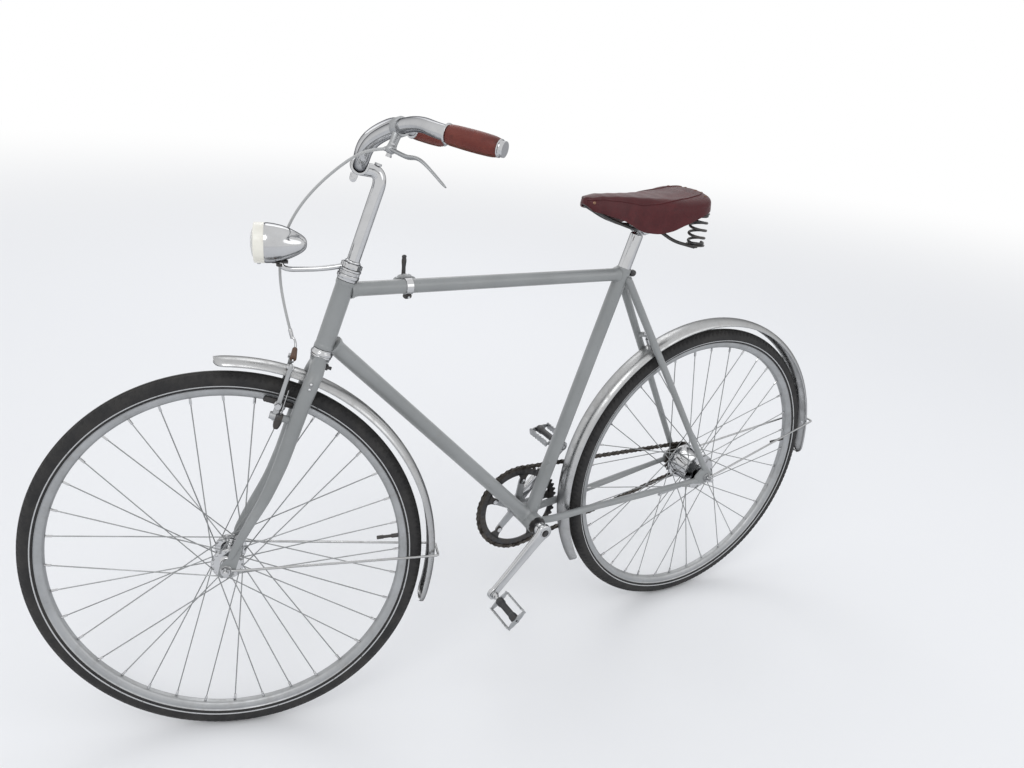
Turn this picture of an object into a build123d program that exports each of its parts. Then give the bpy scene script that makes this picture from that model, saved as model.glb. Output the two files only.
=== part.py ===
from build123d import *
from math import acos, atan2, cos, hypot, pi, radians, sin
import os

os.makedirs("parts", exist_ok=True)

# Diamond-frame city bicycle with a sprung leather saddle and a hub gear.
# Lengths in mm. X runs to the rear, Y to the rider's right, Z up.
# Places are measured from the ground under the rear axle and moved to the saddle at the end.
# Rounds are drawn with flats: rods inside their radius, bores outside theirs.
bar_sides = 12
wire_sides = 8
boss_sides = 20
wheel_sides = 60
coil_sides = 5

# Wheels: profiles are radius and side from the wheel's centre, one half
wheel_radius = 345
tyre_profile = [(316, -12), (328, -17), (341, -10), (345, 0)]
rim_profile = [(316, -12), (301, -8)]
spoke_count = 36
spoke_side = 2.2
spoke_cross = 62
spoke_rim_side = 2
spoke_rim_gap = 0.3
spoke_root_in = 3.3
spoke_lead_out = 0.5
axle_radius = 5
play = 0.05
flange_thick = 3.5
front_flange_radius = 28
front_flange_y = 30
front_shell_radius = 18
front_hub_half = 37
rear_flange_radius = 43
rear_flange_y = 29
rear_shell_radius = 37
rear_hub_half = 36
hub_end_share = 0.65

# Axle ends: inner face, outer face and width of each nut, hexagonal
rear_axle_half = 78
rear_nuts = [(44, 55, 16), (60, 70, 17)]
front_axle_half = 69
front_nuts = [(40, 49.5, 15), (54.5, 63, 15)]
washer_radius = 10.5
washer_thick = 1.6

# Frame layout
wheelbase = 1070
bracket_ahead = 445
bracket_drop = 47
seat_angle = radians(73.57)
seat_tube_length = 568.2
steer_angle = radians(71.8)
fork_offset = 38.4
steer_turn = -18.7
head_low = 416
head_length = 124
top_tube_drop = 16.83
top_tube_below_seat_top = 13.55
down_tube_rise = 17.69

# Frame tubes
head_radius = 16
head_bore = 14
top_tube_radius = 12.7
down_tube_radius = 14.3
seat_tube_radius = 14.3
seat_post_radius = 13.2
seat_post_inside = 160
shell_radius = 20
shell_half = 34
shell_cup_radius = 17
shell_cup_out = 3

# Stays: share of the way from the bracket to the rear axle, and side
stay_radius = 7.5
stay_bend = 60
dropout_y = 57.5
dropout_thick = 5
chain_stay_table = [(0.016, 20), (0.11, 30.5), (0.26, 32), (0.66, 48), (0.924, dropout_y)]
seat_stay_top_radius = 8.5
seat_stay_end_radius = 6.5
seat_stay_below_top = 17.7
seat_stay_behind = 6.3
seat_stay_top_y = 13
seat_stay_end = (-14.4, 59.5, 27.6)
slot_play = 0.1
slot_open = 15
dropout_front = [(-36, 7), (-36, -11), (-14, -14)]
dropout_back = [(12, -15), (16, -8), (16, 8), (4, 17), (-7, 31.2), (-21, 22.9)]
bridge_height = 384
bridge_rise = 10
bridge_quarter_rise = 8
bridge_radius = 5.5

# Steering column and fork; places are distance up the steering axis, ahead of it and to the side
steerer_radius = 12.7
quill_radius = 11.1
quill_inside = 60
cup_radius = 19
cup_length = 11
race_length = 6
race_radius = 18
lamp_ring_length = 4
locknut_length = 10
bearing_gap = 0.1
crown_at = 386
crown_half = 20
crown_radius = 13
column_below = 12
blade_table = [
    (393, 0, 16, 11),
    (380, 1, 31, 12.5),
    (362, 3, 42, 12.5),
    (320, 6, 46, 12.5),
    (215, 8, 47.5, 11.5),
    (150, 14, 49, 10),
    (100, 24, 50.5, 8.5),
    (46, 34, 52, 7),
]
fork_tip_y = 52
fork_tip_thick = 5
tip_front = [(20, 47), (7, 25), (-10, 9), (-14, -7), (-10, -14)]
tip_back = [(9, -14), (16, 0), (28, 39)]

# Stem, handlebar and grips; the bar's half runs from the clamp to the grip's end
stem_top = 725
stem_bend = 22
clamp_radius = 15
clamp_half = 18
bar_radius = 11.1
bar_bend = 24
bar_table = [
    (720, 40, 0),
    (725, 40, 34),
    (761, 42, 66),
    (789, 24, 105),
    (816, -7, 170),
    (813, -37, 232),
    (821, -117, 289),
]
grip_radius = 15.2
grip_after_bend = 12

# Brake lever, cable and brake
lever_band_share = 0.45
lever_band_radius = 15
lever_band_half = 8
lever_body_radius = 8
lever_radius = 4.5
lever_bend = 14
lever_table = [(767, 13, -150), (765, -9, -170), (767, -30, -186), (745, -72, -208)]
cable_table = [
    (767, 15, -148),
    (752, 46, -100),
    (713, 71, -30),
    (653, 101, 32),
    (584, 120, 47),
    (514, 111, 47),
    (456, 82, 44),
    (412, 55, 39),
]
cable_bend = 30
cable_radius = 2.5
noodle_table = [(412, 55, 39), (404, 44, 34), (386, 43, -32.5)]
noodle_radius = 2
noodle_bend = 10
brake_pivot_at = 290
brake_pivot_ahead = 43
brake_pivot_y = 42
brake_arm_length = 93
brake_arm_below = 8
brake_arm_top_y = 37
brake_arm_wide = 8
brake_arm_deep = 10
boss_radius = 7
boss_root_ahead = 12
boss_out = 9
pad_up = 19
pad_length = 52
pad_inner_y = 17
pad_thick = 9
pad_deep = 11
pad_stud_radius = 4

# Headlamp: places of its back, and of its shell as distance ahead and radius
lamp_back = (576, 79)
lamp_profile = [(0, 6), (3, 10), (16, 19), (39, 29), (63, 33), (83, 33)]
lens_ahead = 90
lens_radius = 30
lamp_rod_radius = 4.5
lamp_rod_bend = 8
lamp_rod_table = [(561, 14, 0), (545, 44, 0), (523, 103, 0), (537, 112, 0)]

# Mudguards: profile is radius and side from the wheel's centre, one half; angles are from the rear, up
guard_profile = [(357, -22), (367, -15), (370.5, 0)]
guard_thick = 1.4
guard_inner_share = 0.95
guard_step = 6
front_guard_low = -18
front_guard_tip = 92
rear_guard_tail = -3
rear_guard_low = 210
guard_stay_radius = 2.4
guard_stay_gap = 0.6
guard_clip_radius = 6
guard_stay_bend = 5
guard_stay_side_gap = 1
rear_stay_angle = 12
rear_stay_eye = 14
front_stay_angle = -1
front_stay_eye = 15

# Drive
tooth_count = 48
sprocket_teeth = 19
pitch = 12.7
chain_y = 47
chain_half = 3.5
link_pin_half = 4.2
link_waist_half = 3
tooth_gap = 0.35
tooth_depth = 4.5
tooth_half_share = 0.12
ring_thick = 3
ring_inner = 80
ring_tab_in = 3
sprocket_bore = 10
bolt_circle = 64
bolt_boss_radius = 8
spider_lag = 36
spider_thick = 4
spider_wide = 14
spider_arms = 5
spider_hub_radius = 24
reaction_arm_y = 42
reaction_arm_thick = 4
reaction_arm = [(-14, -7), (-10, 12), (12, 12), (14, -5), (8, -14), (-120, -33), (-126, -23)]
crank_length = 165
crank_angle = 49
crank_inner_y = 56
crank_thick = 13
crank_big = 17
crank_small = 12.5
crank_root_half = 13.6
crank_tip_half = 11.25
crank_boss_radius = 15
crank_boss_in = 10
spindle_radius = 8
spindle_half = 62
pedal_inner_y = 88
pedal_length = 74
pedal_chord = 46
pedal_height = 18
pedal_plate = 3
pedal_end_height = 12
pedal_rod_radius = 4.5
pedal_rod_short = 6
pedal_barrel_radius = 9
left_pedal_tilt = 45
right_pedal_tilt = 10

# Saddle: places are from the point on its top where the rider sits
# Stations: place along X, half width at the shoulder, at the hem, then heights of top, shoulder, hem
post_out = 86.5
saddle_reach = 54.8
saddle_rise = 68
saddle_stations = [
    (-197, 12, 15, -9, -17, -25),
    (-190, 19, 21, -6, -18, -31),
    (-165, 24, 26, -3, -19, -37),
    (-120, 29, 34, -3, -22, -49),
    (-80, 40, 47, -4, -25, -69),
    (-40, 58, 66, -4, -25, -67),
    (0, 76, 83, -3, -21, -46),
    (35, 84, 88, 3, -12, -29),
    (55, 72, 77, 8, -4, -21),
    (66, 50, 55, 9, -1, -16),
]
crease_share = 0.72
crease_drop = 4
leather_thick = 4
rail_radius = 3.5
rail_bend = 12
rail_table = [(-191, 10, -25), (-138, 15, -51), (-85, 21, -68), (-30, 21, -68), (0, 45, -89), (37, 66, -96.5)]
spring_x = 37
spring_y = 66
spring_low = -89
spring_top = -30
spring_radius = 17
spring_wire = 3
spring_turns = 3.5
spring_turn_steps = 8
spring_seat_radius = 19
spring_seat_thick = 3.5
clamp_bolt_radius = 14
clamp_bolt_half = 27

# Shifter on the right of the top tube
shifter_back = 117
shifter_band_half = 7
shifter_band_thick = 2.5
shifter_low = 11
quadrant_radius = 29
quadrant_sunk = 2
quadrant_thick = 6
shifter_lever_rise = 62
shifter_lever_wide = 9
shifter_lever_thick = 5
shifter_pin_radius = 9
shifter_pin_out = 5.5

# Main places
rear_axle_at = Vector(0, 0, wheel_radius)
front_axle_at = Vector(-wheelbase, 0, wheel_radius)
bracket_at = Vector(-bracket_ahead, 0, wheel_radius - bracket_drop)
steer_up = Vector(cos(steer_angle), 0, sin(steer_angle))
steer_ahead = Vector(-sin(steer_angle), 0, cos(steer_angle))
steer_foot = front_axle_at - steer_ahead * fork_offset
head_high = head_low + head_length
seat_up = Vector(cos(seat_angle), 0, sin(seat_angle))
seat_tube_top = bracket_at + seat_up * seat_tube_length
post_end = seat_tube_top + seat_up * post_out
rider_at = post_end + Vector(saddle_reach, 0, saddle_rise)


def along(distance, forward=0.0, side=0.0):
    return steer_foot + steer_up * distance + steer_ahead * forward + Vector(0, side, 0)


def steered_points(table, side=1):
    return [along(up, forward, side * across) for up, forward, across in table]


def polar(centre, radius, angle):
    return Vector(centre.X + radius * cos(angle), 0, centre.Z + radius * sin(angle))


def between(start, end, share):
    return start + (end - start) * share


def span(side, near, far):
    return sorted((side * near, side * far))


def round_section(radius, sides, bore=0.0):
    section = RegularPolygon(radius, sides)
    if bore:
        section -= RegularPolygon(bore, sides, major_radius=False)
    return section


# A rod in the X and Z plane, or a tube where it has a bore
def rod(start, end, radius, bore=0.0):
    plane = Plane(origin=start, z_dir=end - start, x_dir=(0, 1, 0))
    return extrude(plane * round_section(radius, boss_sides, bore), (end - start).length)


def y_plane(centre, low):
    return Plane(origin=(centre.X, low, centre.Z), x_dir=(1, 0, 0), z_dir=(0, 1, 0))


def y_prism(centre, radius, low, high, sides=boss_sides, bore=0.0):
    return extrude(y_plane(centre, low) * round_section(radius, sides, bore), high - low)


def y_bore(centre, radius, low, high, sides=boss_sides):
    return extrude(y_plane(centre, low) * RegularPolygon(radius, sides, major_radius=False), high - low)


# The rear axle's bare ends are true rounds, as a stand's sleeve fits on them
def y_stub(centre, radius, low, high):
    return extrude(y_plane(centre, low) * Circle(radius), high - low)


# A skin of flat faces over rings of points: a loft whose faces stay flat
def skin(rings, closed=False, split=False):
    faces = [] if closed else [Face(Wire.make_polygon(rings[0])), Face(Wire.make_polygon(rings[-1]))]
    pairs = zip(rings, rings[1:] + rings[:1]) if closed else zip(rings, rings[1:])
    for near, far in pairs:
        for i in range(len(near)):
            j = (i + 1) % len(near)
            corners = [[near[i], near[j], far[j], far[i]]]
            if split:
                corners = [[near[i], near[j], far[j]], [near[i], far[j], far[i]]]
            faces += [Face(Wire.make_polygon(points)) for points in corners]
    return Solid(Shell(faces))


def ring_points(plane, radius, sides):
    angles = [2 * pi * i / sides for i in range(sides)]
    return [plane.from_local_coords((radius * cos(a), radius * sin(a), 0)) for a in angles]


# A bar with flats: straight runs with mitred ends, each bend drawn as two short runs
def bar(points, radius, sides, bend=0.0):
    stops = [Vector(*point) for point in points]
    if bend:
        stops = []
        for edge in FilletPolyline(*points, radius=bend).edges():
            stops.append(edge @ 0)
            if edge.geom_type == GeomType.CIRCLE:
                stops.append(edge @ 0.5)
        stops.append(Vector(*points[-1]))
    path = Polyline(*stops)
    section = Plane(origin=path @ 0, z_dir=path % 0) * RegularPolygon(radius, sides)
    return sweep(section, path=path, transition=Transition.RIGHT)


def nut(centre, low, high, across):
    return y_bore(centre, across / 2, low, high, 6)


def flat_bar(start, end, wide, deep, x_dir=(0, 1, 0)):
    plane = Plane(origin=start, z_dir=end - start, x_dir=x_dir)
    return extrude(plane * Rectangle(wide, deep), (end - start).length)


# A plate in the X and Z plane, from one side place to another
def plate(points, low, high):
    wire = Polyline(*[(x, z) for x, z in points], close=True)
    plane = Plane(origin=(0, high, 0), x_dir=(1, 0, 0), z_dir=(0, -1, 0))
    return extrude(plane * make_face(wire), high - low)


def offset_plate(centre, points, low, high):
    return plate([(centre.X + x, centre.Z + z) for x, z in points], low, high)


def mirrored(points):
    return [(radius, -y) for radius, y in reversed(points) if y]


# A profile of radius and side carried round a wheel's centre, from one angle to another in degrees
def carried(profile, centre, start=0, end=360):
    closed = end - start == 360
    count = wheel_sides if closed else round((end - start) / guard_step)
    rings = []
    for i in range(count + (0 if closed else 1)):
        angle = radians(start + (end - start) * i / count)
        out = Vector(cos(angle), 0, sin(angle))
        rings.append([centre + out * radius + Vector(0, y, 0) for radius, y in profile])
    return skin(rings, closed)


def joined(shapes):
    whole = shapes[0]
    for shape in shapes[1:]:
        whole += shape
    return whole


# Wheels: tyre, rim, flanged hub and crossed spokes
def wheel(prefix, centre, flange_radius, flange_y, shell, half):
    inner = flange_y - flange_thick / 2
    outer = flange_y + flange_thick / 2
    hub = y_prism(centre, shell, -flange_y, flange_y)
    hub += y_prism(centre, shell * hub_end_share, -half, half)
    rim_tip = rim_profile[-1][0] * cos(pi / wheel_sides) - spoke_rim_gap
    for side in (-1, 1):
        hub += y_prism(centre, flange_radius, *span(side, inner, outer))
    spokes = []
    for i in range(spoke_count):
        side = 1 if i % 2 else -1
        leads = (i // 2) % 2
        reach = (spoke_side + flange_thick) / 2
        root_y = side * (flange_y + (reach + spoke_lead_out if leads else -reach))
        rim_angle = radians(i * 360 / spoke_count)
        hub_angle = rim_angle + radians(spoke_cross if leads else -spoke_cross)
        start = polar(centre, flange_radius - spoke_root_in, hub_angle) + Vector(0, root_y, 0)
        end = polar(centre, rim_tip, rim_angle) + Vector(0, side * spoke_rim_side, 0)
        spokes.append(flat_bar(start, end, spoke_side, spoke_side))
    return {
        prefix + "_tyre": carried(tyre_profile + mirrored(tyre_profile), centre),
        prefix + "_rim": carried(rim_profile + mirrored(rim_profile), centre),
        prefix + "_hub": hub - y_bore(centre, axle_radius + play, -half, half, bar_sides),
        prefix + "_spokes": Compound(children=spokes),
    }


front_wheel = wheel(
    "front", front_axle_at, front_flange_radius, front_flange_y, front_shell_radius, front_hub_half
)
rear_wheel = wheel(
    "rear", rear_axle_at, rear_flange_radius, rear_flange_y, rear_shell_radius, rear_hub_half
)


def wheel_axle(centre, half, nuts, stub):
    bare = nuts[-1][1]
    whole = y_prism(centre, axle_radius, -bare, bare, bar_sides)
    for side in (-1, 1):
        whole += stub(centre, axle_radius, *span(side, bare, half))
        for near, far, across in nuts:
            whole += nut(centre, *span(side, near, far), across)
        washer = nuts[-1][0]
        whole += y_prism(centre, washer_radius, *span(side, washer, washer + washer_thick), bar_sides)
    return whole


# Frame tubes
frame = {}
head_solid = rod(along(head_low), along(head_high), head_radius)
head_solid += rod(along(head_low - cup_length), along(head_low), cup_radius)
head_solid += rod(along(head_high), along(head_high + cup_length), cup_radius)
frame["head_tube"] = rod(along(head_low), along(head_high), head_radius, head_bore)
shell_solid = y_prism(bracket_at, shell_radius, -shell_half, shell_half)
cup_half = shell_half + shell_cup_out
bracket_bore = y_bore(bracket_at, spindle_radius + play, -cup_half, cup_half)
cup_ends = y_prism(bracket_at, shell_cup_radius, -cup_half, cup_half)
frame["bottom_bracket_shell"] = shell_solid + cup_ends - bracket_bore
seat_solid = rod(bracket_at, seat_tube_top, seat_tube_radius)
frame["seat_tube"] = rod(bracket_at, seat_tube_top, seat_tube_radius, seat_post_radius) - shell_solid
top_tube_start = along(head_high - top_tube_drop)
top_tube_end = seat_tube_top - seat_up * top_tube_below_seat_top
top_tube_way = (top_tube_end - top_tube_start).normalized()
top_tube_solid = rod(top_tube_start, top_tube_end, top_tube_radius)
frame["top_tube"] = top_tube_solid - head_solid - seat_solid
down_tube_solid = rod(along(head_low + down_tube_rise), bracket_at, down_tube_radius)
frame["down_tube"] = down_tube_solid - head_solid - shell_solid - seat_solid

# Stays and slotted dropouts
slot_half = axle_radius + slot_play
slot = [(-slot_half, -slot_open), (-slot_half, axle_radius)]
slot += [(slot_half, axle_radius), (slot_half, -slot_open)]
seat_stay_root = seat_tube_top - seat_up * seat_stay_below_top + Vector(seat_stay_behind, 0, 0)
for side, name in ((-1, "left"), (1, "right")):
    points = []
    for share, y in chain_stay_table:
        points.append(between(bracket_at, rear_axle_at, share) + Vector(0, side * y, 0))
    stay = bar(points, stay_radius, bar_sides, stay_bend)
    low = side * dropout_y - dropout_thick / 2
    dropout = offset_plate(rear_axle_at, dropout_front + slot + dropout_back, low, low + dropout_thick)
    frame[name + "_chain_stay"] = (stay - shell_solid - seat_solid) + dropout
    top = seat_stay_root + Vector(0, side * seat_stay_top_y, 0)
    end = rear_axle_at + Vector(seat_stay_end[0], side * seat_stay_end[1], seat_stay_end[2])
    rings = []
    for place, radius in ((top, seat_stay_top_radius), (end, seat_stay_end_radius)):
        across = Plane(origin=place, z_dir=end - top, x_dir=(0, 1, 0))
        rings.append(ring_points(across, radius, bar_sides))
    frame[name + "_seat_stay"] = skin(rings) - seat_solid

bridge_z = bracket_at.Z + bridge_height
bridge_share = (top.Z - bridge_z) / (top.Z - end.Z)
bridge_side = between(top, end, bridge_share)
bridge_middle = Vector(bridge_side.X, 0, bridge_z + bridge_rise)
bridge_half = bridge_side.Y
bridge_points = [
    Vector(bridge_side.X, -bridge_half, bridge_z),
    Vector(bridge_side.X, -bridge_half / 2, bridge_z + bridge_quarter_rise),
    bridge_middle,
    Vector(bridge_side.X, bridge_half / 2, bridge_z + bridge_quarter_rise),
    Vector(bridge_side.X, bridge_half, bridge_z),
]
bridge = bar(bridge_points, bridge_radius, wire_sides)
frame["stay_bridge"] = bridge - frame["left_seat_stay"] - frame["right_seat_stay"]
frame["rear_axle"] = wheel_axle(rear_axle_at, rear_axle_half, rear_nuts, y_stub)

# Sprocket and the rear hub's reaction arm
sprocket_pitch = pitch / (2 * sin(pi / sprocket_teeth))
ring_pitch = pitch / (2 * sin(pi / tooth_count))


def gear(count, pitch_radius, inner, centre):
    tip = pitch_radius - link_pin_half - tooth_gap
    points = []
    for i in range(count):
        for offset, radius in ((-0.5, tip - tooth_depth), (-tooth_half_share, tip), (tooth_half_share, tip)):
            angle = 2 * pi * (i + offset) / count
            points.append((radius * cos(angle), radius * sin(angle)))
    low = chain_y - ring_thick / 2
    high = chain_y + ring_thick / 2
    return offset_plate(centre, points, low, high) - y_prism(centre, inner, low, high)


frame["sprocket"] = gear(sprocket_teeth, sprocket_pitch, sprocket_bore, rear_axle_at)
arm_low = -reaction_arm_y - reaction_arm_thick / 2
arm_hole = y_prism(rear_axle_at, axle_radius + slot_play, arm_low, arm_low + reaction_arm_thick)
reaction_plate = offset_plate(rear_axle_at, reaction_arm, arm_low, arm_low + reaction_arm_thick)
frame["brake_reaction_arm"] = reaction_plate - arm_hole

# Chain, one closed loop with its links in its outline
centre_gap = hypot(bracket_at.X - rear_axle_at.X, bracket_at.Z - rear_axle_at.Z)
line_angle = atan2(rear_axle_at.Z - bracket_at.Z, rear_axle_at.X - bracket_at.X)
lean = acos((ring_pitch - sprocket_pitch) / centre_gap)
run = (centre_gap**2 - (ring_pitch - sprocket_pitch) ** 2) ** 0.5
ring_wrap = 2 * pi - 2 * lean
sprocket_wrap = 2 * lean
loop_length = 2 * run + ring_pitch * ring_wrap + sprocket_pitch * sprocket_wrap
link_total = 2 * round(loop_length / pitch / 2)


# Place on the loop at a distance from the chainring's top, offset outwards
def chain_point(distance, offset):
    top_angle = line_angle + lean
    low_angle = line_angle - lean
    big = ring_pitch + offset
    small = sprocket_pitch + offset
    distance = distance % loop_length
    if distance < run:
        start = polar(bracket_at, big, top_angle)
        return between(start, polar(rear_axle_at, small, top_angle), distance / run)
    distance -= run
    if distance < sprocket_pitch * sprocket_wrap:
        return polar(rear_axle_at, small, top_angle - distance / sprocket_pitch)
    distance -= sprocket_pitch * sprocket_wrap
    if distance < run:
        start = polar(rear_axle_at, small, low_angle)
        return between(start, polar(bracket_at, big, low_angle), distance / run)
    distance -= run
    return polar(bracket_at, big, low_angle - distance / ring_pitch)


def chain_edge(sign):
    points = []
    for i in range(link_total):
        for share, half in ((0, link_pin_half), (0.5, link_waist_half)):
            place = chain_point((i + share) * loop_length / link_total, sign * half)
            points.append((place.X, place.Z))
    return points


chain_low = chain_y - chain_half
chain_high = chain_y + chain_half
frame["chain"] = plate(chain_edge(1), chain_low, chain_high) - plate(chain_edge(-1), chain_low, chain_high)


# Mudguards, their clips and their wire stays
def guard(centre, start, end):
    outer = guard_profile + mirrored(guard_profile)
    inner = [(radius - guard_thick, y * guard_inner_share) for radius, y in outer]
    return carried(outer + inner[::-1], centre, start, end)


def guard_clip(centre, place):
    out = (place - centre).normalized()
    start = centre + out * (guard_profile[-1][0] - guard_thick / 2)
    return bar([start, place], guard_clip_radius, wire_sides)


def guard_stay(centre, angle, axle_y, eye):
    reach = guard_profile[-1][0] + guard_stay_radius + guard_stay_gap
    across = polar(centre, reach, radians(angle))
    low = polar(centre, eye, radians(angle))
    side = -guard_profile[0][1] + guard_stay_radius + guard_stay_side_gap
    points = [low - Vector(0, axle_y, 0), across - Vector(0, side, 0)]
    points += [across + Vector(0, side, 0), low + Vector(0, axle_y, 0)]
    return bar(points, guard_stay_radius, wire_sides, guard_stay_bend)


rear_guard = guard(rear_axle_at, rear_guard_tail, rear_guard_low)
frame["rear_mudguard"] = rear_guard + guard_clip(rear_axle_at, bridge_middle) - frame["stay_bridge"]
rear_eye_y = dropout_y + dropout_thick / 2 + guard_stay_radius
frame["rear_mudguard_stay"] = guard_stay(rear_axle_at, rear_stay_angle, rear_eye_y, rear_stay_eye)

# Seat post, saddle leather, rails and springs
post_start = seat_tube_top - seat_up * seat_post_inside
frame["seat_post"] = rod(post_start, post_end, seat_post_radius)


def saddle_section(x, top_half, low_half, top, shoulder, low, inset):
    crease = top_half * crease_share
    points = [
        (-low_half + inset, low - inset),
        (-top_half + inset, shoulder),
        (-crease + inset * crease_share, top - crease_drop - inset),
        (0, top - inset),
        (crease - inset * crease_share, top - crease_drop - inset),
        (top_half - inset, shoulder),
        (low_half - inset, low - inset),
    ]
    return [rider_at + Vector(x, y, z) for y, z in points]


leather = skin([saddle_section(*station, 0) for station in saddle_stations], split=True)
hollow = skin([saddle_section(*station, leather_thick) for station in saddle_stations[1:-1]], split=True)
rails = []
springs = []
for side in (-1, 1):
    rail_points = [rider_at + Vector(x, side * y, z) for x, y, z in rail_table]
    rails.append(bar(rail_points, rail_radius, wire_sides, rail_bend))
    seat_at = rider_at + Vector(spring_x, side * spring_y, 0)
    low_seat = Plane(origin=seat_at + Vector(0, 0, spring_low - spring_seat_thick))
    top_seat = Plane(origin=seat_at + Vector(0, 0, spring_top))
    rails.append(extrude(low_seat * RegularPolygon(spring_seat_radius, bar_sides), spring_seat_thick))
    rails.append(extrude(top_seat * RegularPolygon(spring_seat_radius, bar_sides), spring_seat_thick))
    coil = []
    rise = spring_top - spring_low - 2 * spring_wire
    steps = round(spring_turns * spring_turn_steps)
    for i in range(steps + 1):
        angle = 2 * pi * i / spring_turn_steps
        height = spring_low + spring_wire + rise * i / steps
        coil.append(seat_at + Vector(spring_radius * cos(angle), spring_radius * sin(angle), height))
    springs.append(bar(coil, spring_wire, coil_sides))
frame["saddle_springs"] = Compound(children=springs)
frame["saddle_rails"] = joined(rails)
frame["saddle_leather"] = leather - hollow - frame["saddle_rails"]
saddle_bolt = y_prism(post_end, clamp_bolt_radius, -clamp_bolt_half, clamp_bolt_half)
frame["saddle_clamp"] = saddle_bolt - frame["seat_post"] - frame["saddle_rails"]

# Shifter: band, quadrant, lever and pin
shifter_at = top_tube_start + top_tube_way * shifter_back
pivot_at = shifter_at - Vector(0, 0, shifter_low)
band_step = top_tube_way * shifter_band_half
quadrant_y = top_tube_radius + shifter_band_thick - quadrant_sunk
quadrant_high = quadrant_y + quadrant_thick
lever_y = quadrant_high + shifter_lever_thick / 2
quadrant_steps = boss_sides // 2
quadrant_edge = []
for i in range(quadrant_steps + 1):
    angle = pi * i / quadrant_steps
    quadrant_edge.append((quadrant_radius * cos(angle), quadrant_radius * sin(angle)))
quadrant = offset_plate(pivot_at, quadrant_edge, quadrant_y, quadrant_high)
shifter = joined([
    bar([shifter_at - band_step, shifter_at + band_step], top_tube_radius + shifter_band_thick, bar_sides),
    quadrant,
    flat_bar(
        pivot_at + Vector(0, lever_y, 0),
        pivot_at + Vector(0, lever_y, shifter_lever_rise),
        shifter_lever_thick,
        shifter_lever_wide,
    ),
    y_prism(pivot_at, shifter_pin_radius, quadrant_high, quadrant_high + shifter_pin_out, bar_sides),
])
frame["gear_shifter"] = shifter - top_tube_solid

# Headset, steerer and fork
cup_bore = steerer_radius + play
frame["headset_cups"] = joined([
    rod(along(head_low - cup_length), along(head_low), cup_radius, cup_bore),
    rod(along(head_high), along(head_high + cup_length), cup_radius, cup_bore),
])
front = {}
race_low = head_low - cup_length - bearing_gap
race_high = head_high + cup_length + bearing_gap
race_top = race_high + race_length
ring_top = race_top + lamp_ring_length
column_top = ring_top + locknut_length
column_foot = along(crown_at - column_below)
column_solid = rod(column_foot, along(column_top), steerer_radius)
column = column_solid - rod(along(column_top - quill_inside), along(column_top), quill_radius)
low_race = rod(along(race_low - race_length), along(race_low), race_radius)
high_race = rod(along(race_high), along(race_top), race_radius)
locknut = bar([along(ring_top), along(column_top)], race_radius, 6)
front["headset_races"] = joined([low_race, high_race, locknut]) - column_solid
crown_bar = bar([along(crown_at, 0, -crown_half), along(crown_at, 0, crown_half)], crown_radius, bar_sides)
for side, name in ((-1, "left"), (1, "right")):
    rings = []
    for up, forward, across, radius in blade_table:
        place = Plane(origin=along(up, forward, side * across), z_dir=steer_up, x_dir=(0, 1, 0))
        rings.append(ring_points(place, radius, bar_sides))
    blade = skin(rings[::-1]) - low_race - column_solid
    low = side * fork_tip_y - fork_tip_thick / 2
    tip = offset_plate(front_axle_at, tip_front + slot + tip_back, low, low + fork_tip_thick)
    front[name + "_fork_blade"] = blade + tip
crown = crown_bar - column_solid - low_race
front["fork_steerer"] = (crown + column) - front["left_fork_blade"] - front["right_fork_blade"]
front["front_axle"] = wheel_axle(front_axle_at, front_axle_half, front_nuts, y_prism)
front_guard = guard(front_axle_at, front_guard_low, front_guard_tip)
front_clip = guard_clip(front_axle_at, along(crown_at))
front["front_mudguard"] = front_guard + front_clip - crown_bar - column_solid
front_eye_y = fork_tip_y + fork_tip_thick / 2 + guard_stay_radius
front["front_mudguard_stay"] = guard_stay(front_axle_at, front_stay_angle, front_eye_y, front_stay_eye)

# Stem, bar, grips and lever
left_bar = steered_points(bar_table, -1)
right_bar = steered_points(bar_table)
bar_solid = bar(left_bar[:0:-1] + right_bar[1:], bar_radius, bar_sides, bar_bend)
front["handlebar"] = bar_solid
for name, points in (("left_grip", left_bar), ("right_grip", right_bar)):
    grip_way = (points[-1] - points[-2]).normalized()
    grip_start = points[-2] + grip_way * grip_after_bend
    front[name] = bar([grip_start, points[-1]], grip_radius, bar_sides) - bar_solid
clamp_at = right_bar[0]
quill = rod(along(column_top - quill_inside), along(column_top), quill_radius)
neck = bar([along(column_top), along(stem_top), clamp_at], quill_radius, bar_sides, stem_bend)
clamp = y_prism(clamp_at, clamp_radius, -clamp_half, clamp_half)
front["stem"] = joined([quill, neck, clamp]) - bar_solid
lever_points = steered_points(lever_table)
band_at = between(left_bar[3], left_bar[4], lever_band_share)
band_way = (left_bar[4] - left_bar[3]).normalized() * lever_band_half
band = bar([band_at - band_way, band_at + band_way], lever_band_radius, bar_sides)
lever_body = bar([band_at, lever_points[0]], lever_body_radius, wire_sides)
lever_blade = bar(lever_points, lever_radius, wire_sides, lever_bend)
front["brake_lever"] = joined([band, lever_body, lever_blade]) - bar_solid

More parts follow.
